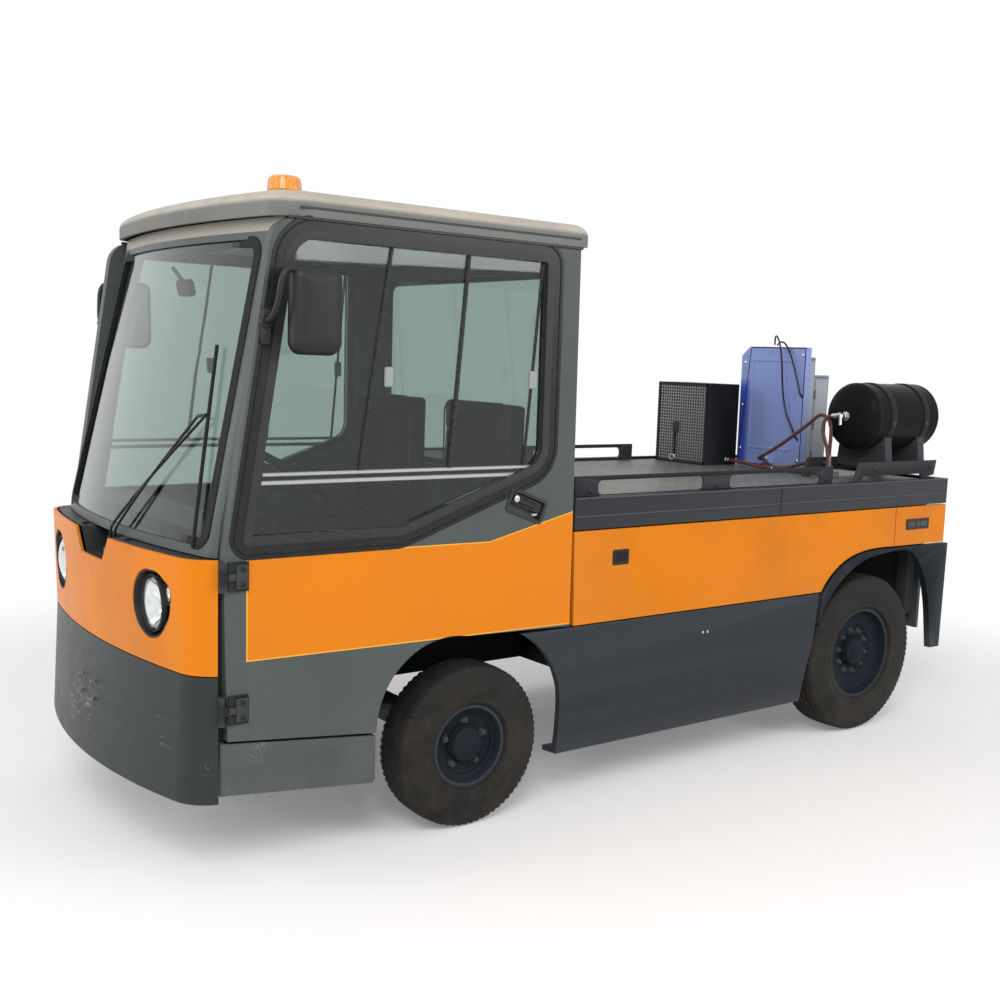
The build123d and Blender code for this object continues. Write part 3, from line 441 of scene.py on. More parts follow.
def slot_materials():
    """The material of each of the record's slots."""
    return {
        "slate_paint": slate_paint(),
        "roof_grey": roof_paint(),
        "orange_paint": orange_paint(),
        "cabin_black": plastic("cabin_black", BLACK, 0.6),
        "frame_black": dark_paint("frame_black", (0.011, 0.012, 0.015), 0.42, chips=0.3),
        "fender_black": dark_paint("fender_paint", FENDER, 0.40),
        "sill_slate": dark_paint("sill_paint", NIGHT_BLUE, 0.30, dust=0.03, chips=0.15),
        "black_plastic": plastic("black_plastic", TRIM, 0.45),
        "black_tank": dark_paint("tank_paint", (0.012, 0.012, 0.013), 0.30, chips=0.2),
        "box_grey": dark_paint("box_paint", BOX_GREY, 0.5, dust=0.0),
        "blue_paint": cabinet_paint(),
        "clear_glass": glass("clear_glass"),
        "amber_lens": lens("amber_lens", AMBER),
        "red_lens": lens("red_lens", RED),
        "lamp_glass": glass("lamp_glass", (0.97, 0.98, 0.98)),
        "tread_steel": tread_steel(),
        "hinge_iron": dark_paint("hinge_iron", (0.022, 0.024, 0.025), 0.45, chips=0.5),
        "coupling_iron": metal("coupling_iron", (0.06, 0.06, 0.06), 0.5, rust=0.5, metallic=0.6),
        "pin_steel": metal("pin_steel", STEEL, 0.3),
        "axle_black": metal("axle_black", (0.03, 0.03, 0.03), 0.55, rust=0.25, metallic=0.3),
        "motor_grey": metal("motor_grey", (0.10, 0.105, 0.11), 0.5, metallic=0.3),
        "rim_grey": dark_paint("rim_paint", RIM, 0.42, dust=0.05, chips=0.25),
        "seat_black": fabric(),
        "wheel_black": plastic("wheel_grip", BLACK, 0.5),
        "tyre_black": rubber("tyre_rubber"),
    }


def dress_nodes(materials):
    """Gives each CAD node the material of its slot; the doors get the banded paint."""
    banded = door_paint()
    for name, node in NODES.items():
        material = banded if name in ("door_left", "door_right") else materials[SLOT_OF[name]]
        if not node.material_slots:
            node.data.materials.append(material)
        for slot in node.material_slots:
            slot.material = material


def add_mesh(name, vertices, faces, material, body, smooth=None):
    """New piece from vertices and faces that rides on a body; smooth is the angle in degrees kept sharp."""
    mesh = bpy.data.meshes.new(name)
    mesh.from_pydata([tuple(vertex) for vertex in vertices], [], faces)
    mesh.validate()
    work = bmesh.new()
    work.from_mesh(mesh)
    bmesh.ops.remove_doubles(work, verts=work.verts, dist=1e-6)
    bmesh.ops.recalc_face_normals(work, faces=work.faces)
    if smooth is not None:
        for face in work.faces:
            face.smooth = True
        for edge in work.edges:
            edge.smooth = len(edge.link_faces) == 2 and edge.calc_face_angle(0) < math.radians(smooth)
    work.to_mesh(mesh)
    work.free()
    mesh.materials.append(material)
    piece = bpy.data.objects.new(name, mesh)
    bpy.context.collection.objects.link(piece)
    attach(piece, body)
    return piece


class Builder:
    """Collects the vertices and faces of one piece."""

    def __init__(self):
        self.vertices = []
        self.faces = []

    def loops(self, rings, closed=True, capped=False):
        """Quads between rings of equally many points; capped closes the first and last ring."""
        start = len(self.vertices)
        count = len(rings[0])
        for ring in rings:
            self.vertices += [tuple(point) for point in ring]
        span = count if closed else count - 1
        for level in range(len(rings) - 1):
            for i in range(span):
                a = start + level * count + i
                b = start + level * count + (i + 1) % count
                self.faces.append((a, b, b + count, a + count))
        if capped:
            self.faces.append(tuple(range(start, start + count)))
            last = start + (len(rings) - 1) * count
            self.faces.append(tuple(range(last + count - 1, last - 1, -1)))
        return self

    def lathe(self, profile, centre, axis, segments=48, wave=None):
        """Profile of (distance along axis, radius) turned round an axis; wave(angle, radius) may change a radius."""
        centre, axis = Vector(centre), Vector(axis).normalized()
        side = axis.orthogonal().normalized()
        other = axis.cross(side)
        rings = []
        for along, radius in profile:
            ring = []
            for i in range(segments):
                angle = 2 * math.pi * i / segments
                reach = wave(angle, along, radius) if wave else radius
                ring.append(centre + axis * along + (side * math.cos(angle) + other * math.sin(angle)) * reach)
            rings.append(ring)
        return self.loops(rings)

    def bar(self, start, end, radius, segments=12, end_radius=None):
        """Round bar with slightly rounded ends."""
        start, end = Vector(start), Vector(end)
        length = (end - start).length
        tip = radius if end_radius is None else end_radius
        soft = min(radius, tip) * 0.25
        profile = [(0, radius * 0.02), (0, radius - soft), (soft, radius), (length - soft, tip), (length, tip - soft),
                   (length, tip * 0.02)]
        return self.lathe(profile, start, end - start, segments)

    def brick(self, low, high, soft=0.002, turn=None):
        """Box with chamfered edges; turn is a matrix applied about its middle."""
        low, high = Vector(low), Vector(high)
        middle, half = (low + high) / 2, (high - low) / 2
        soft = min(soft, min(half) * 0.8)
        rings = []
        for z, inset in ((-half.z, soft), (-half.z + soft, 0), (half.z - soft, 0), (half.z, soft)):
            x, y, cut = half.x - inset, half.y - inset, soft
            ring = [(x, y - cut), (x - cut, y), (-x + cut, y), (-x, y - cut), (-x, -y + cut), (-x + cut, -y),
                    (x - cut, -y), (x, -y + cut)]
            rings.append([Vector((a, b, z)) for a, b in ring])
        if turn is not None:
            rings = [[turn @ point for point in ring] for ring in rings]
        return self.loops([[middle + point for point in ring] for ring in rings], capped=True)

    def tube(self, points, radius, segments=10):
        """Pipe through points, with rings square on its path."""
        points = [Vector(point) for point in points]
        rings = []
        side = None
        for i, point in enumerate(points):
            ahead = points[min(i + 1, len(points) - 1)] - points[max(i - 1, 0)]
            ahead.normalize()
            side = (ahead.orthogonal() if side is None else side - ahead * side.dot(ahead)).normalized()
            other = ahead.cross(side)
            rings.append([point + (side * math.cos(2 * math.pi * k / segments)
                                   + other * math.sin(2 * math.pi * k / segments)) * radius for k in range(segments)])
        return self.loops(rings, capped=True)

    def make(self, name, material, body, slot, smooth=35):
        return add_mesh(name, self.vertices, self.faces, material, body, smooth)


def rounded_outline(corners, radii, steps=8):
    """Closed outline with its corners rounded, as points in a plane."""
    points = []
    count = len(corners)
    for i, corner in enumerate(corners):
        corner = Vector(corner)
        before, after = Vector(corners[i - 1]) - corner, Vector(corners[(i + 1) % count]) - corner
        before.normalize()
        after.normalize()
        half = before.angle(after) / 2
        radius = max(radii[i], 0.0005)
        centre = corner + (before + after).normalized() * (radius / math.sin(half))
        start = corner + before * (radius / math.tan(half)) - centre
        end = corner + after * (radius / math.tan(half)) - centre
        sweep = start.angle_signed(end)
        for k in range(steps + 1):
            angle = -sweep * k / steps
            cos, sin = math.cos(angle), math.sin(angle)
            points.append(centre + Vector((start.x * cos - start.y * sin, start.x * sin + start.y * cos)))
    return points


def grown(corners, distance):
    """Corners of a convex outline moved outward by distance."""
    area = sum(a[0] * b[1] - b[0] * a[1] for a, b in zip(corners, corners[1:] + corners[:1]))
    sign = 1 if area > 0 else -1
    moved = []
    count = len(corners)
    for i, corner in enumerate(corners):
        corner = Vector(corner)
        before = (corner - Vector(corners[i - 1])).normalized()
        after = (Vector(corners[(i + 1) % count]) - corner).normalized()
        normal_before = Vector((before.y, -before.x)) * sign
        normal_after = Vector((after.y, -after.x)) * sign
        middle = (normal_before + normal_after).normalized()
        moved.append(corner + middle * (distance / middle.dot(normal_before)))
    return moved


def window_band(corners, radii, inner, outer, lift, place, deep=0.004):
    """Flat ring round a window: between the outline grown by inner and by outer, lifted from its carrier."""
    def line(distance, depth):
        grown_radii = [max(radius + distance, 0.001) for radius in radii]
        return [place(point, depth) for point in rounded_outline(grown(corners, distance), grown_radii)]
    soft = min(0.0015, (outer - inner) / 4)
    return Builder().loops([
        line(outer, -deep), line(outer, lift - soft), line(outer - soft, lift), line(inner + soft, lift),
        line(inner, lift - soft), line(inner, -deep),
    ])


# Cab, from the frame's own boxes
CAB_LOW, CAB_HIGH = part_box("cab_frame")
SIDE_Y = 0.750
NOSE_BASE_X = 1.948
BELT_Z = 1.064
HEAD_Z = 2.118
RAKE = 0.240
BOW_R = (SIDE_Y ** 2 + 0.085 ** 2) / (2 * 0.085)
SCREEN = [(-0.672, 1.092), (0.672, 1.092), (0.622, 2.052), (-0.622, 2.052)]
SCREEN_R = [0.045, 0.045, 0.060, 0.060]
REAR_SCREEN = [(-0.600, 1.250), (0.600, 1.250), (0.600, 2.030), (-0.600, 2.030)]
REAR_SCREEN_R = [0.06, 0.06, 0.06, 0.06]
DOOR_WINDOW = [(1.790, 1.100), (1.636, 2.082), (0.598, 2.082), (0.598, 1.318), (1.214, 1.100)]
DOOR_WINDOW_R = [0.025, 0.110, 0.040, 0.110, 0.120]
PANE_Y = 0.731
SIDES = (("left", 1), ("right", -1))


def screen_x(y, z):
    """Outer face of the cab's nose above the belt line."""
    return NOSE_BASE_X - RAKE * (z - BELT_Z) / (HEAD_Z - BELT_Z) - y * y / (2 * BOW_R)


def on_screen(point, lift):
    """Point (y, z) of the windscreen opening, lift metres proud of the cab's nose."""
    y, z = point
    return Vector((screen_x(y, z) + lift, y, z))


def make_seals(materials):
    """Rubber round windscreen and rear window, and the black bands round the door windows."""
    window_band(SCREEN, SCREEN_R, -0.024, 0.010, 0.0035, on_screen, deep=0.010).make(
        "windscreen_seal", materials["seal"], "chassis", "black_plastic")
    rear_x = CAB_LOW.x

    def behind(point, lift):
        return Vector((rear_x - lift, *point))
    window_band(REAR_SCREEN, REAR_SCREEN_R, -0.020, 0.014, 0.005, behind, deep=0.018).make(
        "rear_window_seal", materials["seal"], "chassis", "black_plastic")
    for side, sign in SIDES:
        def beside(point, lift, sign=sign):
            return Vector((point[0], sign * (SIDE_Y + lift), point[1]))
        window_band(DOOR_WINDOW, DOOR_WINDOW_R, -0.003, 0.044, 0.0018, beside, deep=0.001).make(
            "window_band_" + side, materials["gloss_black"], side + "_door", "black_plastic")
        window_band(DOOR_WINDOW, DOOR_WINDOW_R, 0.026, 0.030, 0.0045, beside, deep=0.001).make(
            "window_groove_" + side, materials["seal"], side + "_door", "black_plastic")


def make_panes(materials):
    """Rails, edges and latches of the sliding pane in each door window."""
    for side, sign in SIDES:
        body = side + "_door"
        y_out, y_in = sign * (PANE_Y + 0.009), sign * (PANE_Y - 0.008)
        low_y, high_y = sorted((y_in, y_out))
        rails = Builder()
        for z, height in ((1.294, 0.007), (1.320, 0.006)):
            rails.brick((0.632, low_y, z - height), (1.752 - (z - 1.1) * 0.16, high_y, z + height), 0.002)
        rails.make("pane_rails_" + side, materials["rail_metal"], body, "black_plastic")
        edges = Builder()
        for foot_x, head_x, width in ((1.372, 1.264, 0.007), (1.02, 0.96, 0.009), (0.70, 0.64, 0.006)):
            foot, head = Vector((foot_x, sign * (PANE_Y + 0.004), 1.326)), Vector((head_x, sign * (PANE_Y + 0.004), 2.05))
            edges.bar(foot, head, width, 8)
        edges.make("pane_edges_" + side, materials["gloss_black"], body, "black_plastic")
        latches = Builder()
        for x, z in ((1.268, 1.632), (0.670, 1.633)):
            y = sign * (PANE_Y + 0.012)
            latches.brick((x - 0.016, min(y, y - sign * 0.014), z - 0.033), (x + 0.016, max(y, y - sign * 0.014), z + 0.033),
                          0.004)
        latches.make("pane_latches_" + side, materials["latch_grey"], body, "black_plastic")


def make_tyres(materials):
    """Tyres with grooved treads, ribbed shoulders and rings on their side walls."""
    for end, groove_count, lugs in (("front", 4, 72), ("rear", 4, 84)):
        for side, sign in SIDES:
            low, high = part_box("tyre_" + end + "_" + side)
            centre = (low + high) / 2
            radius, half = (high.z - low.z) / 2, (high.y - low.y) / 2
            inner = (0.157 if end == "front" else 0.218) - 0.001
            wall = radius - inner
            side_wall = [
                (half - 0.024, inner), (half - 0.010, inner + 0.006), (half - 0.006, inner + 0.014),
                (half - 0.007, inner + 0.020), (half - 0.001, inner + wall * 0.32), (half - 0.002, inner + wall * 0.34),
                (half, inner + wall * 0.46), (half - 0.0015, inner + wall * 0.50), (half - 0.0005, inner + wall * 0.62),
                (half - 0.003, inner + wall * 0.66), (half - 0.004, inner + wall * 0.74),
                (half - 0.007, inner + wall * 0.78), (half - 0.010, inner + wall * 0.86),
                (half - 0.016, inner + wall * 0.94), (half - 0.024, radius - 0.0035),
            ]
            tread = []
            flat = half - 0.028
            pitch = 2 * flat / (groove_count + 1)
            groove = 0.0045
            for i in range(groove_count):
                y = flat - pitch * (i + 1)
                crown = 0.004 * (abs(y) / flat) ** 2
                tread += [(y + groove, radius - crown), (y + groove - 0.001, radius - crown - 0.0085),
                          (y - groove + 0.001, radius - crown - 0.0085), (y - groove, radius - crown)]
            profile = side_wall + tread + [(-y, r) for y, r in reversed(side_wall)]

            def lug(angle, along, reach, radius=radius, half=half, lugs=lugs):
                """Notches across the shoulders and fine sipes in the tread's ribs."""
                turn = (angle * lugs / (2 * math.pi)) % 1.0
                at_shoulder = abs(along) > half * 0.62 and reach > radius - wall * 0.24
                if at_shoulder and turn < 0.26:
                    return reach - 0.0042
                if reach > radius - 0.0045 and turn < 0.13:
                    return reach - 0.0016
                return reach
            piece = Builder().lathe(profile, centre, (0, sign, 0), lugs * 4, wave=lug).make(
                "tyre_tread_" + end + "_" + side, materials["tyre_black"], side + "_" + end + "_wheel", "tyre_black", 28)
            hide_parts("tyre_" + end + "_" + side)


def nut(build, place, axis, reach, height):
    """Six-sided nut with a washer and the end of its stud."""
    place, axis = Vector(place), Vector(axis)
    build.lathe([(0, 0.001), (0, reach * 1.25), (0.002, reach * 1.25), (0.002, 0.001)], place, axis, 20)
    build.lathe([(0.002, 0.001), (0.002, reach), (height * 0.85, reach), (height, reach * 0.82), (height, 0.001)],
                place, axis, 6)
    build.lathe([(height, reach * 0.5), (height + 0.005, reach * 0.5), (height + 0.006, reach * 0.35),
                 (height + 0.006, 0.001)], place, axis, 12)


def make_wheel_fittings(materials):
    """Wheel nuts, hub caps and the inner dish ring of every rim."""
    for end, count, ring_r, reach, disc_y, rim_r in (
        ("front", 5, 0.088, 0.0125, 0.021, 0.157), ("rear", 10, 0.100, 0.0115, 0.021, 0.218),
    ):
        for side, sign in SIDES:
            low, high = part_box("rim_" + end + "_" + side)
            centre = (low + high) / 2
            axis = Vector((0, sign, 0))
            body = side + "_" + end + "_wheel"
            nuts = Builder()
            for i in range(count):
                angle = 2 * math.pi * (i + 0.25) / count
                place = centre + Vector((math.cos(angle), 0, math.sin(angle))) * ring_r + axis * disc_y
                nut(nuts, place, axis, reach, 0.017)
            nuts.make("wheel_nuts_" + end + "_" + side, materials["nut_metal"], body, "pin_steel")
            cap = Builder().lathe([
                (0.024, 0.070), (0.032, 0.068), (0.040, 0.0645), (0.052, 0.062), (0.056, 0.057), (0.0565, 0.030),
                (0.0585, 0.027), (0.0595, 0.001),
            ], centre, axis, 48)
            cap.make("hub_cap_" + end + "_" + side, materials["rim_grey"], body, "rim_grey")
            grip = rim_r - 0.003
            dish = Builder().lathe([
                (0.012, ring_r + reach * 1.7), (0.020, ring_r + reach * 2.2), (0.028, ring_r + reach * 2.6),
                (0.034, grip - 0.036), (0.040, grip - 0.026), (0.056, grip - 0.020),
                (0.062 if end == "front" else 0.074, grip - 0.012),
                (0.066 if end == "front" else 0.079, grip - 0.001), (0.068 if end == "front" else 0.081, grip + 0.006),
                (0.064 if end == "front" else 0.077, grip + 0.008), (0.060, grip - 0.004),
            ], centre, axis, 96)
            dish.make("rim_dish_" + end + "_" + side, materials["rim_grey"], body, "rim_grey")


LAMP_CIRCLES = (((0.470, 0.890), 0.112), ((0.556, 0.932), 0.048), ((0.500, 0.905), 0.098))
LAMP_MIDDLE = Vector((0.500, 0.905))
HOOD_NOSE_X = 2.013


def lamp_edge(angle, inset):
    """Point of the lamp recess's outline at an angle about its middle, drawn in by inset."""
    way = Vector((math.cos(angle), math.sin(angle)))
    reach = 0.0
    for (y, z), radius in LAMP_CIRCLES:
        to_centre = Vector((y, z)) - LAMP_MIDDLE
        along = to_centre.dot(way)
        inside = radius ** 2 - (to_centre.length_squared - along ** 2)
        if inside > 0:
            reach = max(reach, along + math.sqrt(inside))
    return LAMP_MIDDLE + way * (reach - inset)


def hood_x(y):
    """Face of the orange hood at half-width y, ahead of its rounded corner."""
    return HOOD_NOSE_X - y * y / (2 * BOW_R)


def make_lamps(materials):
    """Bucket, reflectors, bulbs, rings and domed glasses of the front lamps, in place of the CAD blocks."""
    replaced = False
    for side, sign in SIDES:
        def ring(inset, depth, sign=sign):
            points = []
            for k in range(72):
                y, z = lamp_edge(2 * math.pi * k / 72, inset)
                points.append(Vector((hood_x(min(y, 0.60)) - depth, sign * y, z)))
            return points
        floor_ring = [Vector((1.880, point.y, point.z)) for point in ring(0.016, 0)]
        bucket = Builder().loops([
            ring(0.0015, 0.012), ring(0.0015, 0.005), ring(0.004, 0.003), ring(0.007, 0.005), ring(0.010, 0.030),
            floor_ring, [Vector((1.880, sign * LAMP_MIDDLE.x, LAMP_MIDDLE.y))] * 72,
        ]).make("lamp_bucket_" + side, materials["black_plastic"], "chassis", "black_plastic")
        if not replaced:
            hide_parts("headlamps")
            replaced = True
        for name, y, z, face_x, radius, bulge, deep in (
            ("main", 0.462, 0.890, 1.963, 0.086, 0.018, 0.060), ("small", 0.562, 0.934, 1.950, 0.029, 0.006, 0.030),
        ):
            centre = Vector((face_x, sign * y, z))
            forward = (1, 0, 0)
            bowl = [(-deep * (1 - (k / 10) ** 2), max(radius * 0.97 * k / 10, 0.001)) for k in range(11)]
            Builder().lathe(bowl, centre, forward, 64).make(
                "lamp_reflector_" + name + "_" + side, materials["chrome"], "chassis", "lamp_glass", 60)
            Builder().lathe([
                (-0.010, radius + 0.001), (0.002, radius + 0.001), (0.006, radius + 0.004), (0.002, radius + 0.008),
                (-0.012, radius + 0.008),
            ], centre, forward, 72).make("lamp_ring_" + name + "_" + side, materials["ring_metal"], "chassis", "black_plastic")
            dome = [(bulge * (1 - (k / 12) ** 2), max(radius * k / 12, 0.0008)) for k in range(13)]
            back = [(height - 0.003, reach) for height, reach in reversed(dome)]
            Builder().lathe(dome + back, centre, forward, 72).make(
                "lamp_lens_" + name + "_" + side, materials["lamp_lens"], "chassis", "lamp_glass", 60)
            Builder().lathe([
                (-deep + 0.001, radius * 0.16), (-deep + 0.012, radius * 0.16), (-deep + 0.014, radius * 0.11),
                (-deep * 0.42, radius * 0.11), (-deep * 0.36, radius * 0.07), (-deep * 0.33, 0.001),
            ], centre, forward, 24).make("lamp_bulb_" + name + "_" + side, materials["bulb"], "chassis", "lamp_glass", 60)


def smooth_line(points, count=64):
    """Points along the NURBS line that has the given control points."""
    data = bpy.data.curves.new("line", "CURVE")
    data.dimensions = "3D"
    spline = data.splines.new("NURBS")
    spline.points.add(len(points) - 1)
    for target, point in zip(spline.points, points):
        target.co = (*point, 1)
    spline.order_u = 3
    spline.use_endpoint_u = True
    spline.resolution_u = 12
    carrier = bpy.data.objects.new("line", data)
    mesh = bpy.data.meshes.new_from_object(carrier)
    line = [vertex.co.copy() for vertex in mesh.vertices]
    bpy.data.objects.remove(carrier)
    bpy.data.meshes.remove(mesh)
    return line


def hose(name, points, radius, material):
    """Hose or cable whose smooth NURBS line runs from fitting to fitting."""
    data = bpy.data.curves.new(name, "CURVE")
    data.dimensions = "3D"
    spline = data.splines.new("NURBS")
    spline.points.add(len(points) - 1)
    for target, point in zip(spline.points, points):
        target.co = (*point, 1)
    spline.order_u = 3
    spline.use_endpoint_u = True
    spline.resolution_u = 10
    data.bevel_depth = radius
    data.bevel_resolution = 4
    data.use_fill_caps = True
    data.materials.append(material)
    piece = bpy.data.objects.new(name, data)
    bpy.context.collection.objects.link(piece)
    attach(piece, "chassis")
    return piece


HOSE_R = 0.009
DECK_HOSE = [(-1.420, -0.276, 1.213), (-1.420, -0.190, 1.213), (-1.414, -0.050, 1.199), (-1.424, 0.100, 1.196),
             (-1.412, 0.240, 1.1965), (-1.394, 0.332, 1.199), (-1.394, 0.403, 1.199)]
CABINET_HOSE = [(-1.598, -0.150, 1.225), (-1.540, -0.150, 1.225), (-1.478, -0.088, 1.243), (-1.446, 0.020, 1.284),
                (-1.430, 0.130, 1.345), (-1.420, 0.230, 1.408), (-1.414, 0.300, 1.455), (-1.409, 0.348, 1.490),
                (-1.406, 0.392, 1.486), (-1.403, 0.424, 1.456), (-1.403, 0.432, 1.406), (-1.402, 0.428, 1.314),
                (-1.402, 0.428, 1.218)]
TANK_HOSE = [(-1.376, 0.476, 1.490), (-1.376, 0.433, 1.490), (-1.376, 0.403, 1.458), (-1.377, 0.399, 1.401),
             (-1.378, 0.444, 1.309), (-1.378, 0.444, 1.218)]
LOW_HOSE = [(-1.598, -0.118, 1.205), (-1.540, -0.116, 1.204), (-1.478, -0.040, 1.198), (-1.468, 0.030, 1.1965), (-1.462, 0.120, 1.203), (-1.456, 0.230, 1.238),
            (-1.452, 0.330, 1.262), (-1.446, 0.400, 1.240), (-1.430, 0.424, 1.205)]
CABLE_LONG = [(-1.612, -0.148, 1.832), (-1.600, -0.140, 1.872), (-1.585, -0.112, 1.880), (-1.578, -0.080, 1.830),
              (-1.576, -0.060, 1.740), (-1.578, -0.048, 1.600), (-1.580, -0.020, 1.480), (-1.582, 0.040, 1.385),
              (-1.584, 0.056, 1.350), (-1.606, 0.058, 1.335)]
CABLE_SHORT = [(-1.612, -0.130, 1.830), (-1.600, -0.100, 1.850), (-1.590, -0.060, 1.842), (-1.584, -0.020, 1.800),
               (-1.582, 0.020, 1.720), (-1.582, 0.050, 1.640), (-1.584, 0.068, 1.575), (-1.606, 0.070, 1.560)]


def make_hoses(materials):
    """Air hoses with their fittings, and two thin cables on the cabinet's face."""
    for name, route in (("hose_deck", DECK_HOSE), ("hose_cabinet", CABINET_HOSE), ("hose_tank", TANK_HOSE),
                        ("hose_low", LOW_HOSE)):
        hose(name, route, HOSE_R, materials["hose"])
        ends = Builder()
        for tip, inner in ((route[0], route[1]), (route[-1], route[-2])):
            way = (Vector(inner) - Vector(tip)).normalized()
            start = Vector(tip) - way * 0.004
            ends.lathe([(0, 0.001), (0, 0.013), (0.010, 0.013), (0.012, 0.0115), (0.026, 0.0112), (0.028, 0.0098),
                        (0.028, 0.0088)], start, way, 20)
        ends.make(name + "_ferrules", materials["bright_metal"], "chassis", "pin_steel")
    for name, route in (("cable_long", CABLE_LONG), ("cable_short", CABLE_SHORT)):
        hose(name, route, 0.0045, materials["gloss_black"])
    block = Builder()
    block.brick((-1.452, 0.405, 1.185), (-1.362, 0.460, 1.214), 0.003)
    for x, y in ((-1.402, 0.428), (-1.378, 0.444), (-1.430, 0.424)):
        block.lathe([(0, 0.014), (0.006, 0.014), (0.007, 0.011), (0.010, 0.0105)], (x, y, 1.214), (0, 0, 1), 6)
    block.make("hose_manifold", materials["dark_iron"], "chassis", "coupling_iron")
    valve = Builder()
    valve.bar((-1.424, 0.505, 1.490), (-1.392, 0.505, 1.490), 0.017, 6)
    valve.bar((-1.396, 0.505, 1.490), (-1.372, 0.505, 1.490), 0.012, 16)
    valve.bar((-1.376, 0.505, 1.498), (-1.376, 0.468, 1.488), 0.012, 16)
    valve.bar((-1.372, 0.505, 1.502), (-1.366, 0.512, 1.446), 0.008, 12)
    valve.lathe([(0, 0.001), (0, 0.022), (0.008, 0.022), (0.010, 0.018), (0.010, 0.001)], (-1.418, 0.505, 1.490),
                (1, 0, 0), 24)
    valve.make("tank_valve", materials["bright_metal"], "chassis", "pin_steel")
    ties = Builder()
    for y, z in ((0.060, 1.196), (0.250, 1.197)):
        ties.lathe([(-0.004, 0.0105), (-0.004, 0.012), (0.004, 0.012), (0.004, 0.0105)], (-1.418, y, z), (0, 1, 0), 20)
    ties.bar((-1.380, 0.452, 1.186), (-1.381, 0.454, 1.300), 0.006, 10)
    ties.make("hose_ties", materials["bright_metal"], "chassis", "pin_steel")


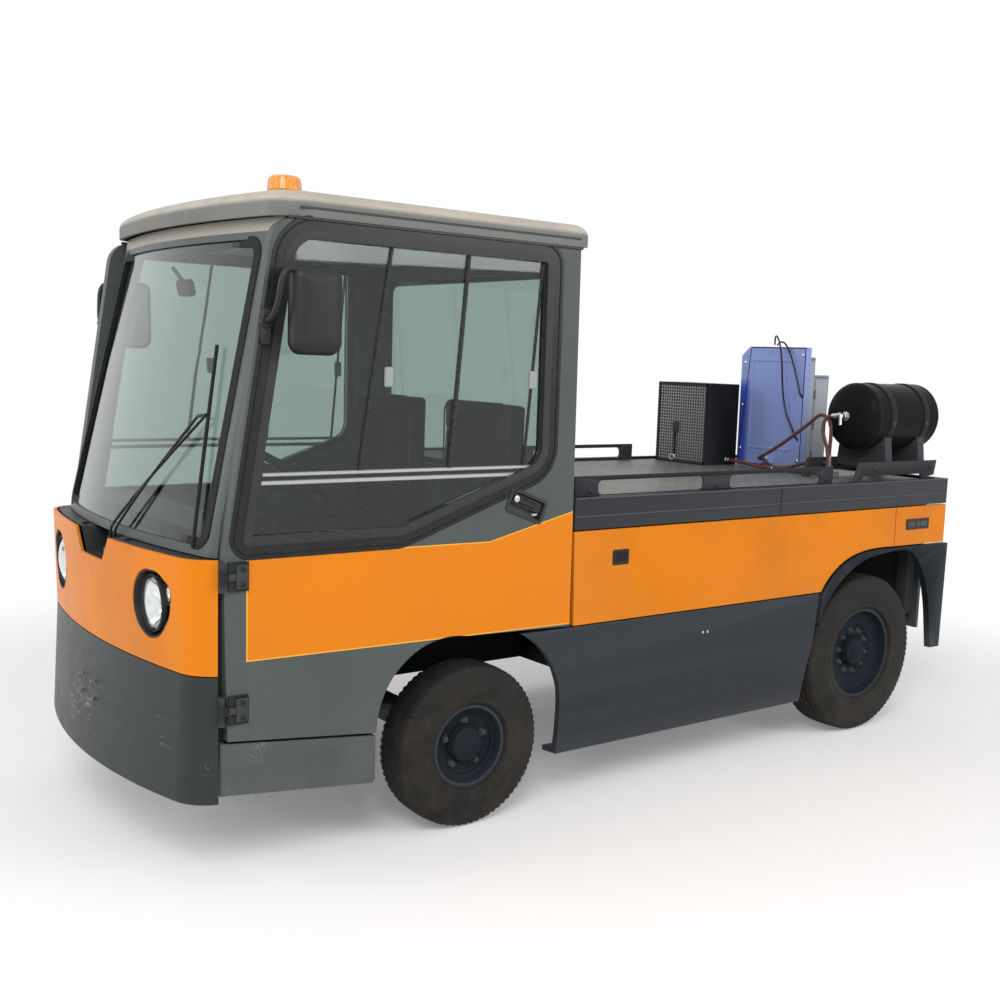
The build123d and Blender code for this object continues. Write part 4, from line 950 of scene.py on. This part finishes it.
def make_equipment(materials):
    """Wire-fronted box, cabinet door and screws, control box lids and tank bands."""
    low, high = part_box("mesh_box")
    wall = 0.003
    shell = Builder()
    shell.brick((low.x, low.y, low.z), (low.x + wall, high.y, high.z), 0.001)
    shell.brick((low.x, low.y, low.z), (high.x, low.y + wall, high.z), 0.001)
    shell.brick((low.x, high.y - wall, low.z), (high.x, high.y, high.z), 0.001)
    shell.brick((low.x, low.y, high.z - wall), (high.x, high.y, high.z), 0.001)
    shell.brick((low.x, low.y, low.z), (high.x, high.y, low.z + wall), 0.001)
    rim = 0.014
    for y in (low.y, high.y - rim):
        shell.brick((high.x - 0.006, y, low.z), (high.x, y + rim, high.z), 0.001)
    for z in (low.z, high.z - rim):
        shell.brick((high.x - 0.006, low.y, z), (high.x, high.y, z + rim), 0.001)
    box_piece = shell.make("mesh_box_shell", materials["frame_black"], "chassis", "frame_black")
    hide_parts("mesh_box")
    plate = Builder()
    columns, rows = 20, 26
    step_y, step_z = (high.y - low.y - 0.016) / columns, (high.z - low.z - 0.016) / rows
    for i in range(columns + 1):
        y = low.y + 0.008 + step_y * i
        plate.brick((high.x - 0.008, y - 0.0028, low.z + 0.006), (high.x - 0.004, y + 0.0028, high.z - 0.006), 0.0008)
    for k in range(rows + 1):
        z = low.z + 0.008 + step_z * k
        plate.brick((high.x - 0.0095, low.y + 0.006, z - 0.0026), (high.x - 0.0055, high.y - 0.006, z + 0.0026), 0.0008)
    plate.make("mesh_front", materials["mesh_wire"], "chassis", "frame_black")
    dark = Builder()
    dark.brick((low.x + 0.03, low.y + 0.02, low.z + 0.012), (high.x - 0.05, high.y - 0.02, high.z - 0.03), 0.01)
    dark.make("mesh_box_inside", materials["cabin_black"], "chassis", "frame_black")
    strap = Builder()
    strap_y = low.y + (high.y - low.y) * 0.40
    strap.tube(smooth_line([(high.x + 0.002, strap_y, 1.405), (high.x + 0.007, strap_y + 0.004, 1.370),
                            (high.x + 0.004, strap_y - 0.004, 1.320), (high.x + 0.006, strap_y + 0.003, 1.262),
                            (high.x + 0.005, strap_y, 1.235)]), 0.007, 10)
    strap.brick((high.x - 0.002, strap_y - 0.022, 1.352), (high.x + 0.010, strap_y + 0.022, 1.402), 0.003)
    strap.make("latch_strap", materials["gloss_black"], "chassis", "black_plastic")
    ring = [Vector((high.x + 0.008, strap_y - 0.012 + 0.020 * math.cos(2 * math.pi * k / 24),
                    1.212 + 0.014 * math.sin(2 * math.pi * k / 24))) for k in range(25)]
    Builder().tube(ring, 0.0035, 8).make("latch_ring", materials["bright_metal"], "chassis", "pin_steel")

    low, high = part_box("equipment_cabinet")
    face = high.x
    panel = [(-0.292, 1.275), (0.008, 1.275), (0.008, 1.755), (-0.292, 1.755)]
    def ahead(point, lift):
        return Vector((face + lift, *point))
    window_band(panel, [0.01] * 4, -0.012, 0.0, 0.004, ahead, deep=0.0005).make(
        "cabinet_door_frame", materials["blue_paint"], "chassis", "blue_paint")
    window_band([(low.y, low.z + 0.002), (high.y, low.z + 0.002), (high.y, high.z), (low.y + 0.06, high.z)],
                [0.004, 0.004, 0.004, 0.02], -0.007, -0.002, 0.0015, ahead, deep=0.0005).make(
        "cabinet_edge_fold", materials["cable_edge"], "chassis", "blue_paint")
    screws = Builder()
    for y, z in ((-0.338, 1.735), (-0.345, 1.505), (-0.345, 1.270), (0.060, 1.780), (0.060, 1.230)):
        screws.lathe([(0, 0.0085), (0.003, 0.0085), (0.0055, 0.0062), (0.006, 0.001)], (face, y, z), (1, 0, 0), 16)
    screws.make("cabinet_screws", materials["bright_metal"], "chassis", "pin_steel")
    low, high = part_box("control_boxes")
    lids = Builder()
    for x_low, x_high, top in ((-1.698, -1.645, 1.763), (-1.814, -1.702, 1.672)):
        lids.brick((x_low, low.y - 0.004, top - 0.004), (x_high, high.y + 0.006, top + 0.008), 0.003)
        lids.brick((x_low + 0.008, high.y, 1.200), (x_high - 0.008, high.y + 0.004, top - 0.016), 0.002)
    lids.make("control_box_lids", materials["box_grey"], "chassis", "box_grey")
    hinges = Builder()
    for z in (1.26, 1.42, 1.58):
        hinges.bar((-1.706, high.y + 0.006, z - 0.022), (-1.706, high.y + 0.006, z + 0.022), 0.005, 12)
    hinges.lathe([(0, 0.001), (0, 0.012), (0.010, 0.012), (0.011, 0.009), (0.012, 0.001)], (-1.735, -0.05, 1.680),
                 (0, 0, 1), 20)
    hinges.make("control_box_hinges", materials["dark_iron"], "chassis", "coupling_iron")

    bands = Builder()
    for x in (-1.836, -1.576):
        bands.lathe([(-0.020, 0.1605), (-0.020, 0.1635), (-0.018, 0.1645), (0.018, 0.1645), (0.020, 0.1635),
                     (0.020, 0.1605)], (x, 0.505, 1.490), (1, 0, 0), 96)
        bands.brick((x - 0.012, 0.655, 1.452), (x + 0.012, 0.672, 1.478), 0.003)
    bands.make("tank_bands", materials["tank_band"], "chassis", "black_tank")
    seams = Builder()
    for x in (-1.930, -1.484):
        seams.lathe([(-0.004, 0.158), (-0.003, 0.1615), (0.003, 0.1615), (0.004, 0.158)], (x, 0.505, 1.490),
                    (1, 0, 0), 96)
    seams.make("tank_seams", materials["black_tank"], "chassis", "black_tank")


def make_deck(materials):
    """White-edged plate by the right rail, pale strips painted as highlights along the rim's top edge and step, and
    rail bolts.
    """
    low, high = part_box("deck_rim")
    plate = Builder()
    plate.brick((0.060, -0.640, 1.186), (0.395, -0.632, 1.258), 0.001)
    plate.brick((0.060, -0.641, 1.252), (0.395, -0.629, 1.260), 0.002)
    plate.make("deck_side_plate", materials["worn_zinc"], "chassis", "tread_steel")
    # Painted highlight: pale strips on the rim's top edge and step stand for the light these edges catch.
    rim_highlight_strips = Builder()
    for sign in (1, -1):
        y_out, y_in = sign * 0.7525, sign * 0.744
        for z, height in ((1.1935, 0.0035), (1.124, 0.0028)):
            rim_highlight_strips.brick((low.x + 0.004, min(y_out, y_in), z - height), (high.x - 0.003, max(y_out, y_in), z + height), 0.0015)
    rim_highlight_strips.make("rim_edge_highlights", materials["rim_edge"], "chassis", "frame_black")
    gap = Builder()
    for sign in (1, -1):
        gap.brick((-0.700, min(sign * 0.7505, sign * 0.7525), 1.074), (-0.697, max(sign * 0.7505, sign * 0.7525), 1.196),
                  0.0005)
    gap.make("rim_joints", materials["seal"], "chassis", "frame_black")
    bolts = Builder()
    for sign in (1, -1):
        for x in (-1.06, -0.35, 0.34):
            nut(bolts, (x, sign * 0.6925, 1.212), (0, sign, 0), 0.008, 0.007)
    for x in (-1.90, -1.46):
        nut(bolts, (x, 0.664, 1.245), (0, 1, 0), 0.009, 0.008)
    bolts.make("rail_bolts", materials["nut_metal"], "chassis", "pin_steel")


def make_mirrors(materials):
    """Mirror heads with their glass, rounded like the real housings, on bent arms."""
    for side, sign in SIDES:
        y_mid = sign * 0.838
        outline = [(1.500, 1.695), (1.670, 1.695), (1.670, 1.965), (1.500, 1.965)]

        def ring(inset, y, outline=outline):
            corner = max(0.040 - inset, 0.004)
            return [Vector((point.x, y, point.y)) for point in rounded_outline(grown(outline, -inset), [corner] * 4)]
        rings = [ring(inset, y_mid + sign * lift) for inset, lift in (
            (0.012, -0.0235), (0.008, -0.028), (0.003, -0.028), (0.0, -0.024), (0.0, -0.006), (0.004, 0.010),
            (0.014, 0.022), (0.034, 0.029), (0.060, 0.031),
        )]
        head = Builder().loops(rings, capped=True)
        body = side + "_door"
        head = head.make("mirror_head_" + side, materials["black_plastic"], body, "black_plastic", 50)
        glass_rings = [ring(inset, y_mid - sign * lift) for inset, lift in ((0.0125, 0.0235), (0.0128, 0.0245),
                                                                             (0.045, 0.0255))]
        Builder().loops(glass_rings, capped=True).make(
            "mirror_glass_" + side, materials["mirror"], body, "lamp_glass", 60)
        arm = Builder()
        path = smooth_line([(1.716, sign * 0.757, 1.790), (1.715, sign * 0.800, 1.800), (1.706, sign * 0.828, 1.850),
                            (1.700, sign * 0.836, 1.930), (1.672, sign * 0.838, 1.955), (1.640, sign * 0.838, 1.948)])
        arm.tube(path, 0.0095, 14)
        arm.lathe([(0, 0.001), (0, 0.020), (0.016, 0.020), (0.020, 0.016), (0.020, 0.001)], (1.716, sign * 0.750, 1.790),
                  (0, sign, 0), 28)
        arm.brick((1.700, min(sign * 0.750, sign * 0.764), 1.722), (1.732, max(sign * 0.750, sign * 0.764), 1.832), 0.004)
        for z in (1.742, 1.812):
            nut(arm, (1.716, sign * 0.764, z), (0, sign, 0), 0.007, 0.005)
        arm = arm.make("mirror_arm_" + side, materials["black_plastic"], body, "black_plastic", 45)
        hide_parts("door_mirror_" + side)


def make_wipers(materials):
    """Two wiper arms from a pivot block below the windscreen, carrying one upright blade."""
    base_x, trough_z = 1.962, 0.985
    arms = Builder()
    arms.brick((base_x - 0.018, 0.032, trough_z), (base_x + 0.018, 0.096, trough_z + 0.026), 0.003)
    elbows = []
    for pivot_y, elbow_y, elbow_z in ((0.056, 0.548, 1.496), (0.100, 0.502, 1.490)):
        shaft_top = Vector((base_x, pivot_y, trough_z + 0.056))
        elbow = Vector((screen_x(elbow_y, elbow_z) + 0.014, elbow_y, elbow_z))
        arms.bar((base_x, pivot_y, trough_z + 0.020), (base_x, pivot_y, trough_z + 0.066), 0.010)
        knee = Vector((screen_x(pivot_y + 0.03, 1.10) + 0.026, pivot_y + 0.030, 1.10))
        arms.tube(smooth_line([shaft_top, shaft_top + Vector((0.004, 0.008, 0.03)), knee,
                               (knee + elbow) / 2 + Vector((0.010, 0, 0)), elbow]), 0.0048, 10)
        elbows.append(elbow)
    arms.bar(elbows[0], elbows[1], 0.006)
    blade = []
    for z in (1.085, 1.25, 1.40, 1.496, 1.60, 1.716):
        y = 0.614 - (z - 1.100) * 0.168
        blade.append(Vector((screen_x(y, z) + 0.006, y, z)))
    arms.bar(elbows[0], blade[3], 0.0045)
    arms.make("wiper_arms", materials["gloss_black"], "chassis", "black_plastic")
    Builder().tube(smooth_line(blade), 0.006, 10).make("wiper_blade", materials["seal"], "chassis", "black_plastic")
    nozzles = Builder()
    for y in (-0.22, 0.22):
        nozzles.brick((1.950, y - 0.012, 1.060), (1.972, y + 0.012, 1.070), 0.003)
    nozzles.make("washer_nozzles", materials["black_plastic"], "chassis", "black_plastic")


def make_beacon(materials):
    """Amber beacon: ribbed dome on a dark foot."""
    low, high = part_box("beacon")
    x, y = (low.x + high.x) / 2, (low.y + high.y) / 2
    foot_z = low.z

    def ribs(angle, along, radius):
        return radius - (0.0012 if along > 0.024 and math.sin(angle * 24) < 0 else 0.0)
    top = high.z - low.z
    dome = Builder().lathe([
        (0.022, 0.061), (0.024, 0.0615), (0.030, 0.060), (top * 0.46, 0.0585), (top * 0.50, 0.0600), (top * 0.54, 0.0585),
        (top * 0.80, 0.0565), (top * 0.90, 0.053), (top * 0.96, 0.046), (top * 0.99, 0.030), (top, 0.001),
    ], (x, y, foot_z), (0, 0, 1), 96, wave=ribs).make("beacon_dome", materials["amber_lens"], "chassis", "amber_lens", 25)
    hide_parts("beacon")
    Builder().lathe([
        (0.0, 0.066), (0.004, 0.069), (0.014, 0.069), (0.018, 0.064), (0.024, 0.0635), (0.024, 0.001),
    ], (x, y, foot_z), (0, 0, 1), 64).make("beacon_foot", materials["black_plastic"], "chassis", "black_plastic")


def make_door_fittings(materials):
    """Handle lever, lock and hinge castings with their bolts on each door."""
    for side, sign in SIDES:
        body = side + "_door"
        lever = Builder()
        turn = Matrix.Rotation(math.radians(-21), 4, "Y")
        y_a, y_b = sign * 0.735, sign * 0.748
        lever.brick((0.640, min(y_a, y_b), 1.176), (0.738, max(y_a, y_b), 1.200), 0.005, turn)
        lever.make("handle_lever_" + side, materials["black_plastic"], body, "black_plastic")
        lock = Builder()
        lock.lathe([(0, 0.001), (0, 0.012), (0.003, 0.012), (0.004, 0.009), (0.004, 0.001)],
                   (0.735, sign * 0.7505, 1.206), (0, sign, 0), 28)
        lock.brick((0.640, min(sign * 0.748, sign * 0.751), 1.140), (0.664, max(sign * 0.748, sign * 0.751), 1.148), 0.001)
        lock.make("door_lock_" + side, materials["bright_metal"], body, "pin_steel")
        casting = Builder()
        for z in (0.585, 1.009):
            low_y, high_y = sorted((sign * 0.7595, sign * 0.7655))
            casting.brick((1.772, low_y, z - 0.040), (1.812, high_y, z + 0.040), 0.003)
            casting.brick((1.812, low_y, z - 0.013), (1.836, high_y, z + 0.013), 0.003)
            for dz in (-0.024, 0.024):
                nut(casting, (1.790, sign * 0.7655, z + dz), (0, sign, 0), 0.0075, 0.006)
        casting.make("hinge_leaf_castings_" + side, materials["hinge_iron"], body, "hinge_iron")


def make_side_details(materials):
    """Blank lock and switch plates on the side panels, sill screws and bumper bolts."""
    for side, sign in SIDES:
        lock = Builder()
        low_y, high_y = sorted((sign * 0.7495, sign * 0.7530))
        x_low, x_high, z_low, z_high = 0.178, 0.262, 0.926, 0.986
        def beside(point, lift, sign=sign):
            return Vector((point[0], sign * (SIDE_Y + lift), point[1]))
        plate = [(x_low, z_low), (x_high, z_low), (x_high, z_high), (x_low, z_high)]
        window_band(plate, [0.006] * 4, -0.014, 0.0, 0.003, beside, deep=0.001).make(
            "lock_frame_" + side, materials["gloss_black"], "chassis", "black_plastic")
        lock.brick((x_low + 0.012, low_y, z_low + 0.012), (x_high - 0.012, sorted((sign * 0.7495, sign * 0.7510))[1]
                                                            if sign > 0 else high_y, z_high - 0.012), 0.001)
        lock.lathe([(0, 0.001), (0, 0.010), (0.002, 0.010), (0.0025, 0.007), (0.0025, 0.001)],
                   ((x_low + x_high) / 2, sign * 0.751, (z_low + z_high) / 2), (0, sign, 0), 24)
        lock.make("lock_plate_" + side, materials["seal"], "chassis", "black_plastic")
        switch = [(-1.796, 0.955), (-1.612, 0.955), (-1.612, 1.008), (-1.796, 1.008)]
        window_band(switch, [0.003] * 4, -0.024, 0.0, 0.0022, beside, deep=0.001).make(
            "switch_plate_" + side, materials["gloss_black"], "chassis", "black_plastic")
        buttons = Builder()
        for x in (-1.752, -1.656):
            a, b = sorted((sign * 0.7497, sign * 0.7535))
            buttons.brick((x - 0.026, a, 0.967), (x + 0.026, b, 0.996), 0.002)
        buttons.lathe([(0, 0.001), (0, 0.014), (0.004, 0.014), (0.006, 0.010), (0.006, 0.001)],
                      (-1.704, sign * 0.7500, 0.9815), (0, sign, 0), 28)
        buttons.make("rear_buttons_" + side, materials["button"], "chassis", "black_plastic")
        screws = Builder()
        for x in (-0.285, -0.258):
            screws.lathe([(0, 0.001), (-0.001, 0.006), (0.002, 0.006), (0.0035, 0.004), (0.0035, 0.001)],
                         (x, sign * 0.7492, 0.602), (0, sign, 0), 16)
        screws.make("sill_screws_" + side, materials["bright_metal"], "chassis", "pin_steel")
    bolts = Builder()
    for y in (-0.065, 0.065):
        for z in (0.484, 0.546):
            bolts.lathe([(-0.012, 0.001), (-0.012, 0.0065), (-0.004, 0.0065), (-0.002, 0.0045), (-0.002, 0.001)],
                        (2.045, y, z), (1, 0, 0), 6)
    bolts.make("bumper_hole_bolts", materials["dark_iron"], "chassis", "coupling_iron")


def make_roof_details(materials):
    """Black strip under the roof's edge, partly drip moulding and partly painted shadow of the gap above the doors, and
    the screws at its front corners.
    """
    low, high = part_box("cab_roof")
    for sign in (1, -1):
        side = "left" if sign > 0 else "right"
        # Partly painted shadow: the black strip is the drip moulding and also stands for the shadow in the gap between
        # the door top and the roof edge.
        gutter_and_gap_shadow = Builder()
        y_a, y_b = sorted((sign * 0.7490, sign * 0.7555))
        gutter_and_gap_shadow.brick((low.x + 0.02, y_a, 2.108), (1.640, y_b, 2.1175), 0.002)
        gutter_and_gap_shadow.make("gutter_" + side, materials["gloss_black"], "chassis", "black_plastic")
    lines = Builder()
    for z in (2.146,):
        for sign in (1, -1):
            a, b = sorted((sign * 0.7505, sign * 0.7535))
            lines.brick((low.x + 0.03, a, z - 0.0035), (1.600, b, z + 0.0035), 0.0015)
    lines.make("roof_moulding", materials["rim_edge"], "chassis", "roof_grey")
    screws = Builder()
    for y in (-0.50, 0.50):
        screws.lathe([(0, 0.001), (0, 0.011), (0.004, 0.011), (0.006, 0.007), (0.006, 0.001)], (1.60, y, high.z - 0.0005),
                     (0, 0, 1), 20)
    screws.make("roof_screws", materials["bright_metal"], "chassis", "pin_steel")


def make_cab_inside(materials):
    """Mirror on the windscreen, instrument pod and pedals."""
    glass_holder = Builder()
    turn = Matrix.Rotation(math.radians(12), 4, "Y")
    glass_holder.brick((1.640, -0.100, 1.885), (1.662, 0.030, 1.945), 0.008, turn)
    glass_holder.bar((1.655, -0.035, 1.930), (1.700, -0.035, 1.985), 0.007)
    glass_holder.make("inside_mirror", materials["black_plastic"], "chassis", "black_plastic")
    pod = Builder()
    pod.brick((1.655, 0.255, 1.150), (1.700, 0.485, 1.215), 0.012, Matrix.Rotation(math.radians(-18), 4, "Y"))
    pod.make("instrument_pod", materials["black_plastic"], "chassis", "black_plastic")
    pedals = Builder()
    for y in (0.280, 0.400):
        pedals.brick((1.640, y - 0.035, 0.560), (1.652, y + 0.035, 0.640), 0.004, Matrix.Rotation(math.radians(30), 4, "Y"))
        pedals.bar((1.655, y, 0.610), (1.740, y, 0.730), 0.008)
    pedals.make("pedals", materials["dark_iron"], "chassis", "coupling_iron")


def pad_mesh(name, low, high, bulge, lean=0.0):
    """Closed cushion form, rounded at its corners, as a start for the simulation."""
    low, high = Vector(low), Vector(high)
    middle, half = (low + high) / 2, (high - low) / 2
    work = bmesh.new()
    bmesh.ops.create_cube(work, size=2.0)
    bmesh.ops.subdivide_edges(work, edges=work.edges, cuts=5, use_grid_fill=True)
    for vertex in work.verts:
        unit = vertex.co.copy()
        round_off = unit.normalized() * max(abs(part) for part in unit)
        point = unit.lerp(round_off, bulge)
        offset = Vector((point.x * half.x, point.y * half.y, point.z * half.z))
        offset.x -= lean * (offset.z + half.z)
        vertex.co = middle + offset
    mesh = bpy.data.meshes.new(name)
    work.to_mesh(mesh)
    work.free()
    piece = bpy.data.objects.new(name, mesh)
    bpy.context.collection.objects.link(piece)
    return piece


PAD_FRAMES = 20
PAD_CAP = 0.014
VOXEL = 0.010


def inflate(piece):
    """Puffs a cushion form with a short cloth simulation and caps how far each point moves."""
    context = bpy.context
    remesh = piece.modifiers.new("remesh", "REMESH")
    remesh.mode = "VOXEL"
    remesh.voxel_size = VOXEL
    apply_modifiers(piece)
    start = [vertex.co.copy() for vertex in piece.data.vertices]
    cloth = piece.modifiers.new("cloth", "CLOTH")
    cloth.settings.use_pressure = True
    cloth.settings.uniform_pressure_force = 4.0
    cloth.settings.effector_weights.gravity = 0
    cloth.settings.quality = 4
    scene = context.scene
    scene.frame_start, scene.frame_end = 1, PAD_FRAMES
    for frame_number in range(1, PAD_FRAMES + 1):
        scene.frame_set(frame_number)
    apply_modifiers(piece)
    scene.frame_set(1)
    for vertex, home in zip(piece.data.vertices, start):
        moved = vertex.co - home
        if moved.length > PAD_CAP:
            vertex.co = home + moved.normalized() * PAD_CAP


def apply_modifiers(piece):
    """Makes the modified mesh the piece's own, with no modifier left."""
    graph = bpy.context.evaluated_depsgraph_get()
    graph.update()
    made = bpy.data.meshes.new_from_object(piece.evaluated_get(graph))
    piece.modifiers.clear()
    old = piece.data
    piece.data = made
    bpy.data.meshes.remove(old)


def channel(piece, axis, places, width, depth, across_axis, level):
    """Presses sewn channels into the face of a cushion that points along across_axis."""
    for vertex in piece.data.vertices:
        if vertex.co[across_axis] < level:
            continue
        for place in places:
            distance = abs(vertex.co[axis] - place)
            if distance < width:
                vertex.co[across_axis] -= depth * (0.5 + 0.5 * math.cos(math.pi * distance / width))


def make_seats(materials):
    """Two seats, each a cushion and a backrest, puffed by simulation and sewn in channels."""
    low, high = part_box("seat_cushions")
    shapes = (
        ("seat_cushion", (0.590, 0.106, 0.8825), (1.064, 0.594, 0.984), 0.10, 0.0, (0, (0.70, 0.83, 0.96)), 2, 0.935),
        ("seat_back", (0.566, 0.116, 0.998), (0.654, 0.584, 1.552), 0.12, 0.0, (2, (1.14, 1.28, 1.42)), 0, 0.610),
    )
    first = True
    for name, corner_low, corner_high, bulge, lean, (axis, places), face_axis, level in shapes:
        form = pad_mesh(name + "_left", corner_low, corner_high, bulge, lean)
        inflate(form)
        channel(form, axis, places, 0.014, 0.008, face_axis, level)
        for face in form.data.polygons:
            face.use_smooth = True
        smooth = form.modifiers.new("finer", "SUBSURF")
        smooth.levels = smooth.render_levels = 1
        apply_modifiers(form)
        form.data.materials.append(materials["seat_black"])
        twin_mesh = form.data.copy()
        for vertex in twin_mesh.vertices:
            vertex.co.y = -vertex.co.y
        twin_mesh.flip_normals()
        twin = bpy.data.objects.new(name + "_right", twin_mesh)
        bpy.context.collection.objects.link(twin)
        for piece in (form, twin):
            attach(piece, "chassis")
        if first:
            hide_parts("seat_cushions")
            first = False
        for side, sign in SIDES:
            corners = {
                "seat_cushion": [(0.606, 0.122), (1.048, 0.122), (1.048, 0.578), (0.606, 0.578)],
                "seat_back": [(0.132, 1.014), (0.568, 1.014), (0.568, 1.536), (0.132, 1.536)],
            }[name]

            def piping(point, sign=sign, name=name):
                if name == "seat_cushion":
                    return Vector((point.x, sign * point.y, 0.985))
                return Vector((0.652, sign * point.x, point.y))
            line = [piping(point) for point in rounded_outline(corners, [0.05] * 4)]
            Builder().tube(line + [line[0]], 0.0035, 8).make(
                name + "_piping_" + side, materials["gloss_black"], "chassis", "seat_black")


def piece_materials(materials):
    """Materials of the added pieces, beside those of the record's slots."""
    materials["seal"] = rubber("seal_rubber", (0.014, 0.014, 0.014), dust=0.2)
    materials["gloss_black"] = plastic("gloss_black", (0.012, 0.012, 0.013), 0.28, grain=0.0001)
    materials["rail_metal"] = metal("rail_metal", (0.40, 0.41, 0.42), 0.4, metallic=0.7)
    materials["latch_grey"] = plastic("latch_grey", (0.42, 0.43, 0.42), 0.5)
    materials["nut_metal"] = dark_paint("nut_metal", (0.05, 0.055, 0.062), 0.35, chips=0.6)
    materials["chrome"] = chrome()
    materials["ring_metal"] = dark_paint("ring_metal", (0.035, 0.035, 0.036), 0.25)
    materials["lamp_lens"] = glass("lamp_lens_glass", (0.96, 0.98, 0.98), 0.03)
    materials["bulb"] = dark_paint("bulb_glass", (0.75, 0.74, 0.68), 0.12, dust=0.0)
    materials["hose"] = braided_hose()
    materials["bright_metal"] = metal("bright_metal", (0.62, 0.62, 0.62), 0.25)
    materials["dark_iron"] = metal("dark_iron", (0.04, 0.04, 0.042), 0.5, rust=0.2, metallic=0.5)
    materials["mesh_wire"] = metal("mesh_wire", (0.085, 0.085, 0.075), 0.5, metallic=0.4)
    materials["cable_edge"] = dark_paint("edge_fold", (0.012, 0.014, 0.06), 0.4, dust=0.0)
    materials["tank_band"] = dark_paint("tank_band", (0.022, 0.022, 0.023), 0.38)
    materials["worn_zinc"] = metal("worn_zinc", (0.42, 0.43, 0.41), 0.45, metallic=0.5)
    materials["rim_edge"] = dark_paint("rim_edge", (0.075, 0.08, 0.085), 0.35)
    materials["mirror"] = chrome("mirror_glass")
    materials["button"] = plastic("button_grey", (0.055, 0.06, 0.06), 0.4)


def seen_white(tree, shader, white):
    """Shader output that the camera, glossy and transmission rays meet as plain white."""
    nodes, links = tree.nodes, tree.links
    path = nodes.new("ShaderNodeLightPath")
    share = None
    for ray in ("Is Camera Ray", "Is Transmission Ray", "Is Glossy Ray"):
        if share is None:
            share = path.outputs[ray]
            continue
        either = nodes.new("ShaderNodeMath")
        either.operation = "MAXIMUM"
        links.new(share, either.inputs[0])
        links.new(path.outputs[ray], either.inputs[1])
        share = either.outputs[0]
    mix = nodes.new("ShaderNodeMixShader")
    links.new(share, mix.inputs[0])
    links.new(shader, mix.inputs[1])
    links.new(white, mix.inputs[2])
    return mix.outputs[0]


def area_lamp(name, place, target, size, power):
    """Square soft lamp that points at target."""
    data = bpy.data.lights.new(name, "AREA")
    data.shape = "SQUARE"
    data.size = size
    data.energy = power
    lamp = bpy.data.objects.new(name, data)
    lamp.location = place
    aim = Vector(target) - Vector(place)
    lamp.rotation_euler = aim.to_track_quat("-Z", "Y").to_euler()
    bpy.context.collection.objects.link(lamp)


FLOOR_HALF = 30.0
SHADOW_REACH = (2.6, 4.6)


def make_floor():
    """Pale floor that keeps the shadow near the object and is white to the camera further out."""
    shade = Shade("stage_floor", "ShaderNodeBsdfDiffuse")
    shade.surface.inputs["Color"].default_value = (0.86, 0.86, 0.86, 1)
    glow = shade.tree.nodes.new("ShaderNodeEmission")
    glow.inputs["Strength"].default_value = 0.18
    near = shade.tree.nodes.new("ShaderNodeAddShader")
    shade.link(shade.surface.outputs[0], near.inputs[0])
    shade.link(glow.outputs[0], near.inputs[1])
    white = shade.tree.nodes.new("ShaderNodeEmission")
    white.inputs["Color"].default_value = (1, 1, 1, 1)
    white.inputs["Strength"].default_value = 1.0
    squares = shade.math("ADD", shade.math("MULTIPLY", shade.x, shade.x), shade.math("MULTIPLY", shade.y, shade.y))
    far = shade.step(shade.math("POWER", squares, 0.5), *SHADOW_REACH)
    fade = shade.tree.nodes.new("ShaderNodeMixShader")
    shade.link(far, fade.inputs[0])
    shade.link(near.outputs[0], fade.inputs[1])
    shade.link(white.outputs[0], fade.inputs[2])
    shade.link(seen_white(shade.tree, shade.surface.outputs[0], fade.outputs[0]), shade.output.inputs["Surface"])
    mesh = bpy.data.meshes.new("floor")
    half = FLOOR_HALF
    mesh.from_pydata([(-half, -half, 0), (half, -half, 0), (half, half, 0), (-half, half, 0)], [], [(0, 1, 2, 3)])
    mesh.materials.append(shade.material)
    floor = bpy.data.objects.new("floor", mesh)
    bpy.context.collection.objects.link(floor)


def make_stage():
    """White surround, floor and soft lamps."""
    world = bpy.data.worlds.new("surround")
    bpy.context.scene.world = world
    world.use_nodes = True
    tree = world.node_tree
    tree.nodes.clear()
    output = tree.nodes.new("ShaderNodeOutputWorld")
    soft = tree.nodes.new("ShaderNodeBackground")
    soft.inputs["Strength"].default_value = 0.62
    soft.inputs["Color"].default_value = (0.8, 0.8, 0.8, 1)
    white = tree.nodes.new("ShaderNodeBackground")
    white.inputs["Color"].default_value = (1, 1, 1, 1)
    white.inputs["Strength"].default_value = 1.0
    tree.links.new(seen_white(tree, soft.outputs[0], white.outputs[0]), output.inputs["Surface"])
    make_floor()
    area_lamp("key_lamp", (5.5, 6.0, 6.5), (0, 0, 1.0), 4.0, 375)
    area_lamp("side_lamp", (-4.0, 7.5, 4.5), (-0.6, 0, 0.9), 4.0, 225)
    area_lamp("front_lamp", (8.0, -2.5, 3.5), (1.5, 0, 1.0), 3.0, 160)
    bpy.context.scene.view_settings.view_transform = "Standard"


make_camera()
make_stage()
MATERIALS = slot_materials()
piece_materials(MATERIALS)
dress_nodes(MATERIALS)
for make in (
    make_seals, make_panes, make_tyres, make_wheel_fittings, make_lamps, make_hoses, make_equipment, make_deck,
    make_mirrors, make_wipers, make_beacon, make_door_fittings, make_side_details, make_roof_details,
    make_cab_inside, make_seats,
):
    make(MATERIALS)
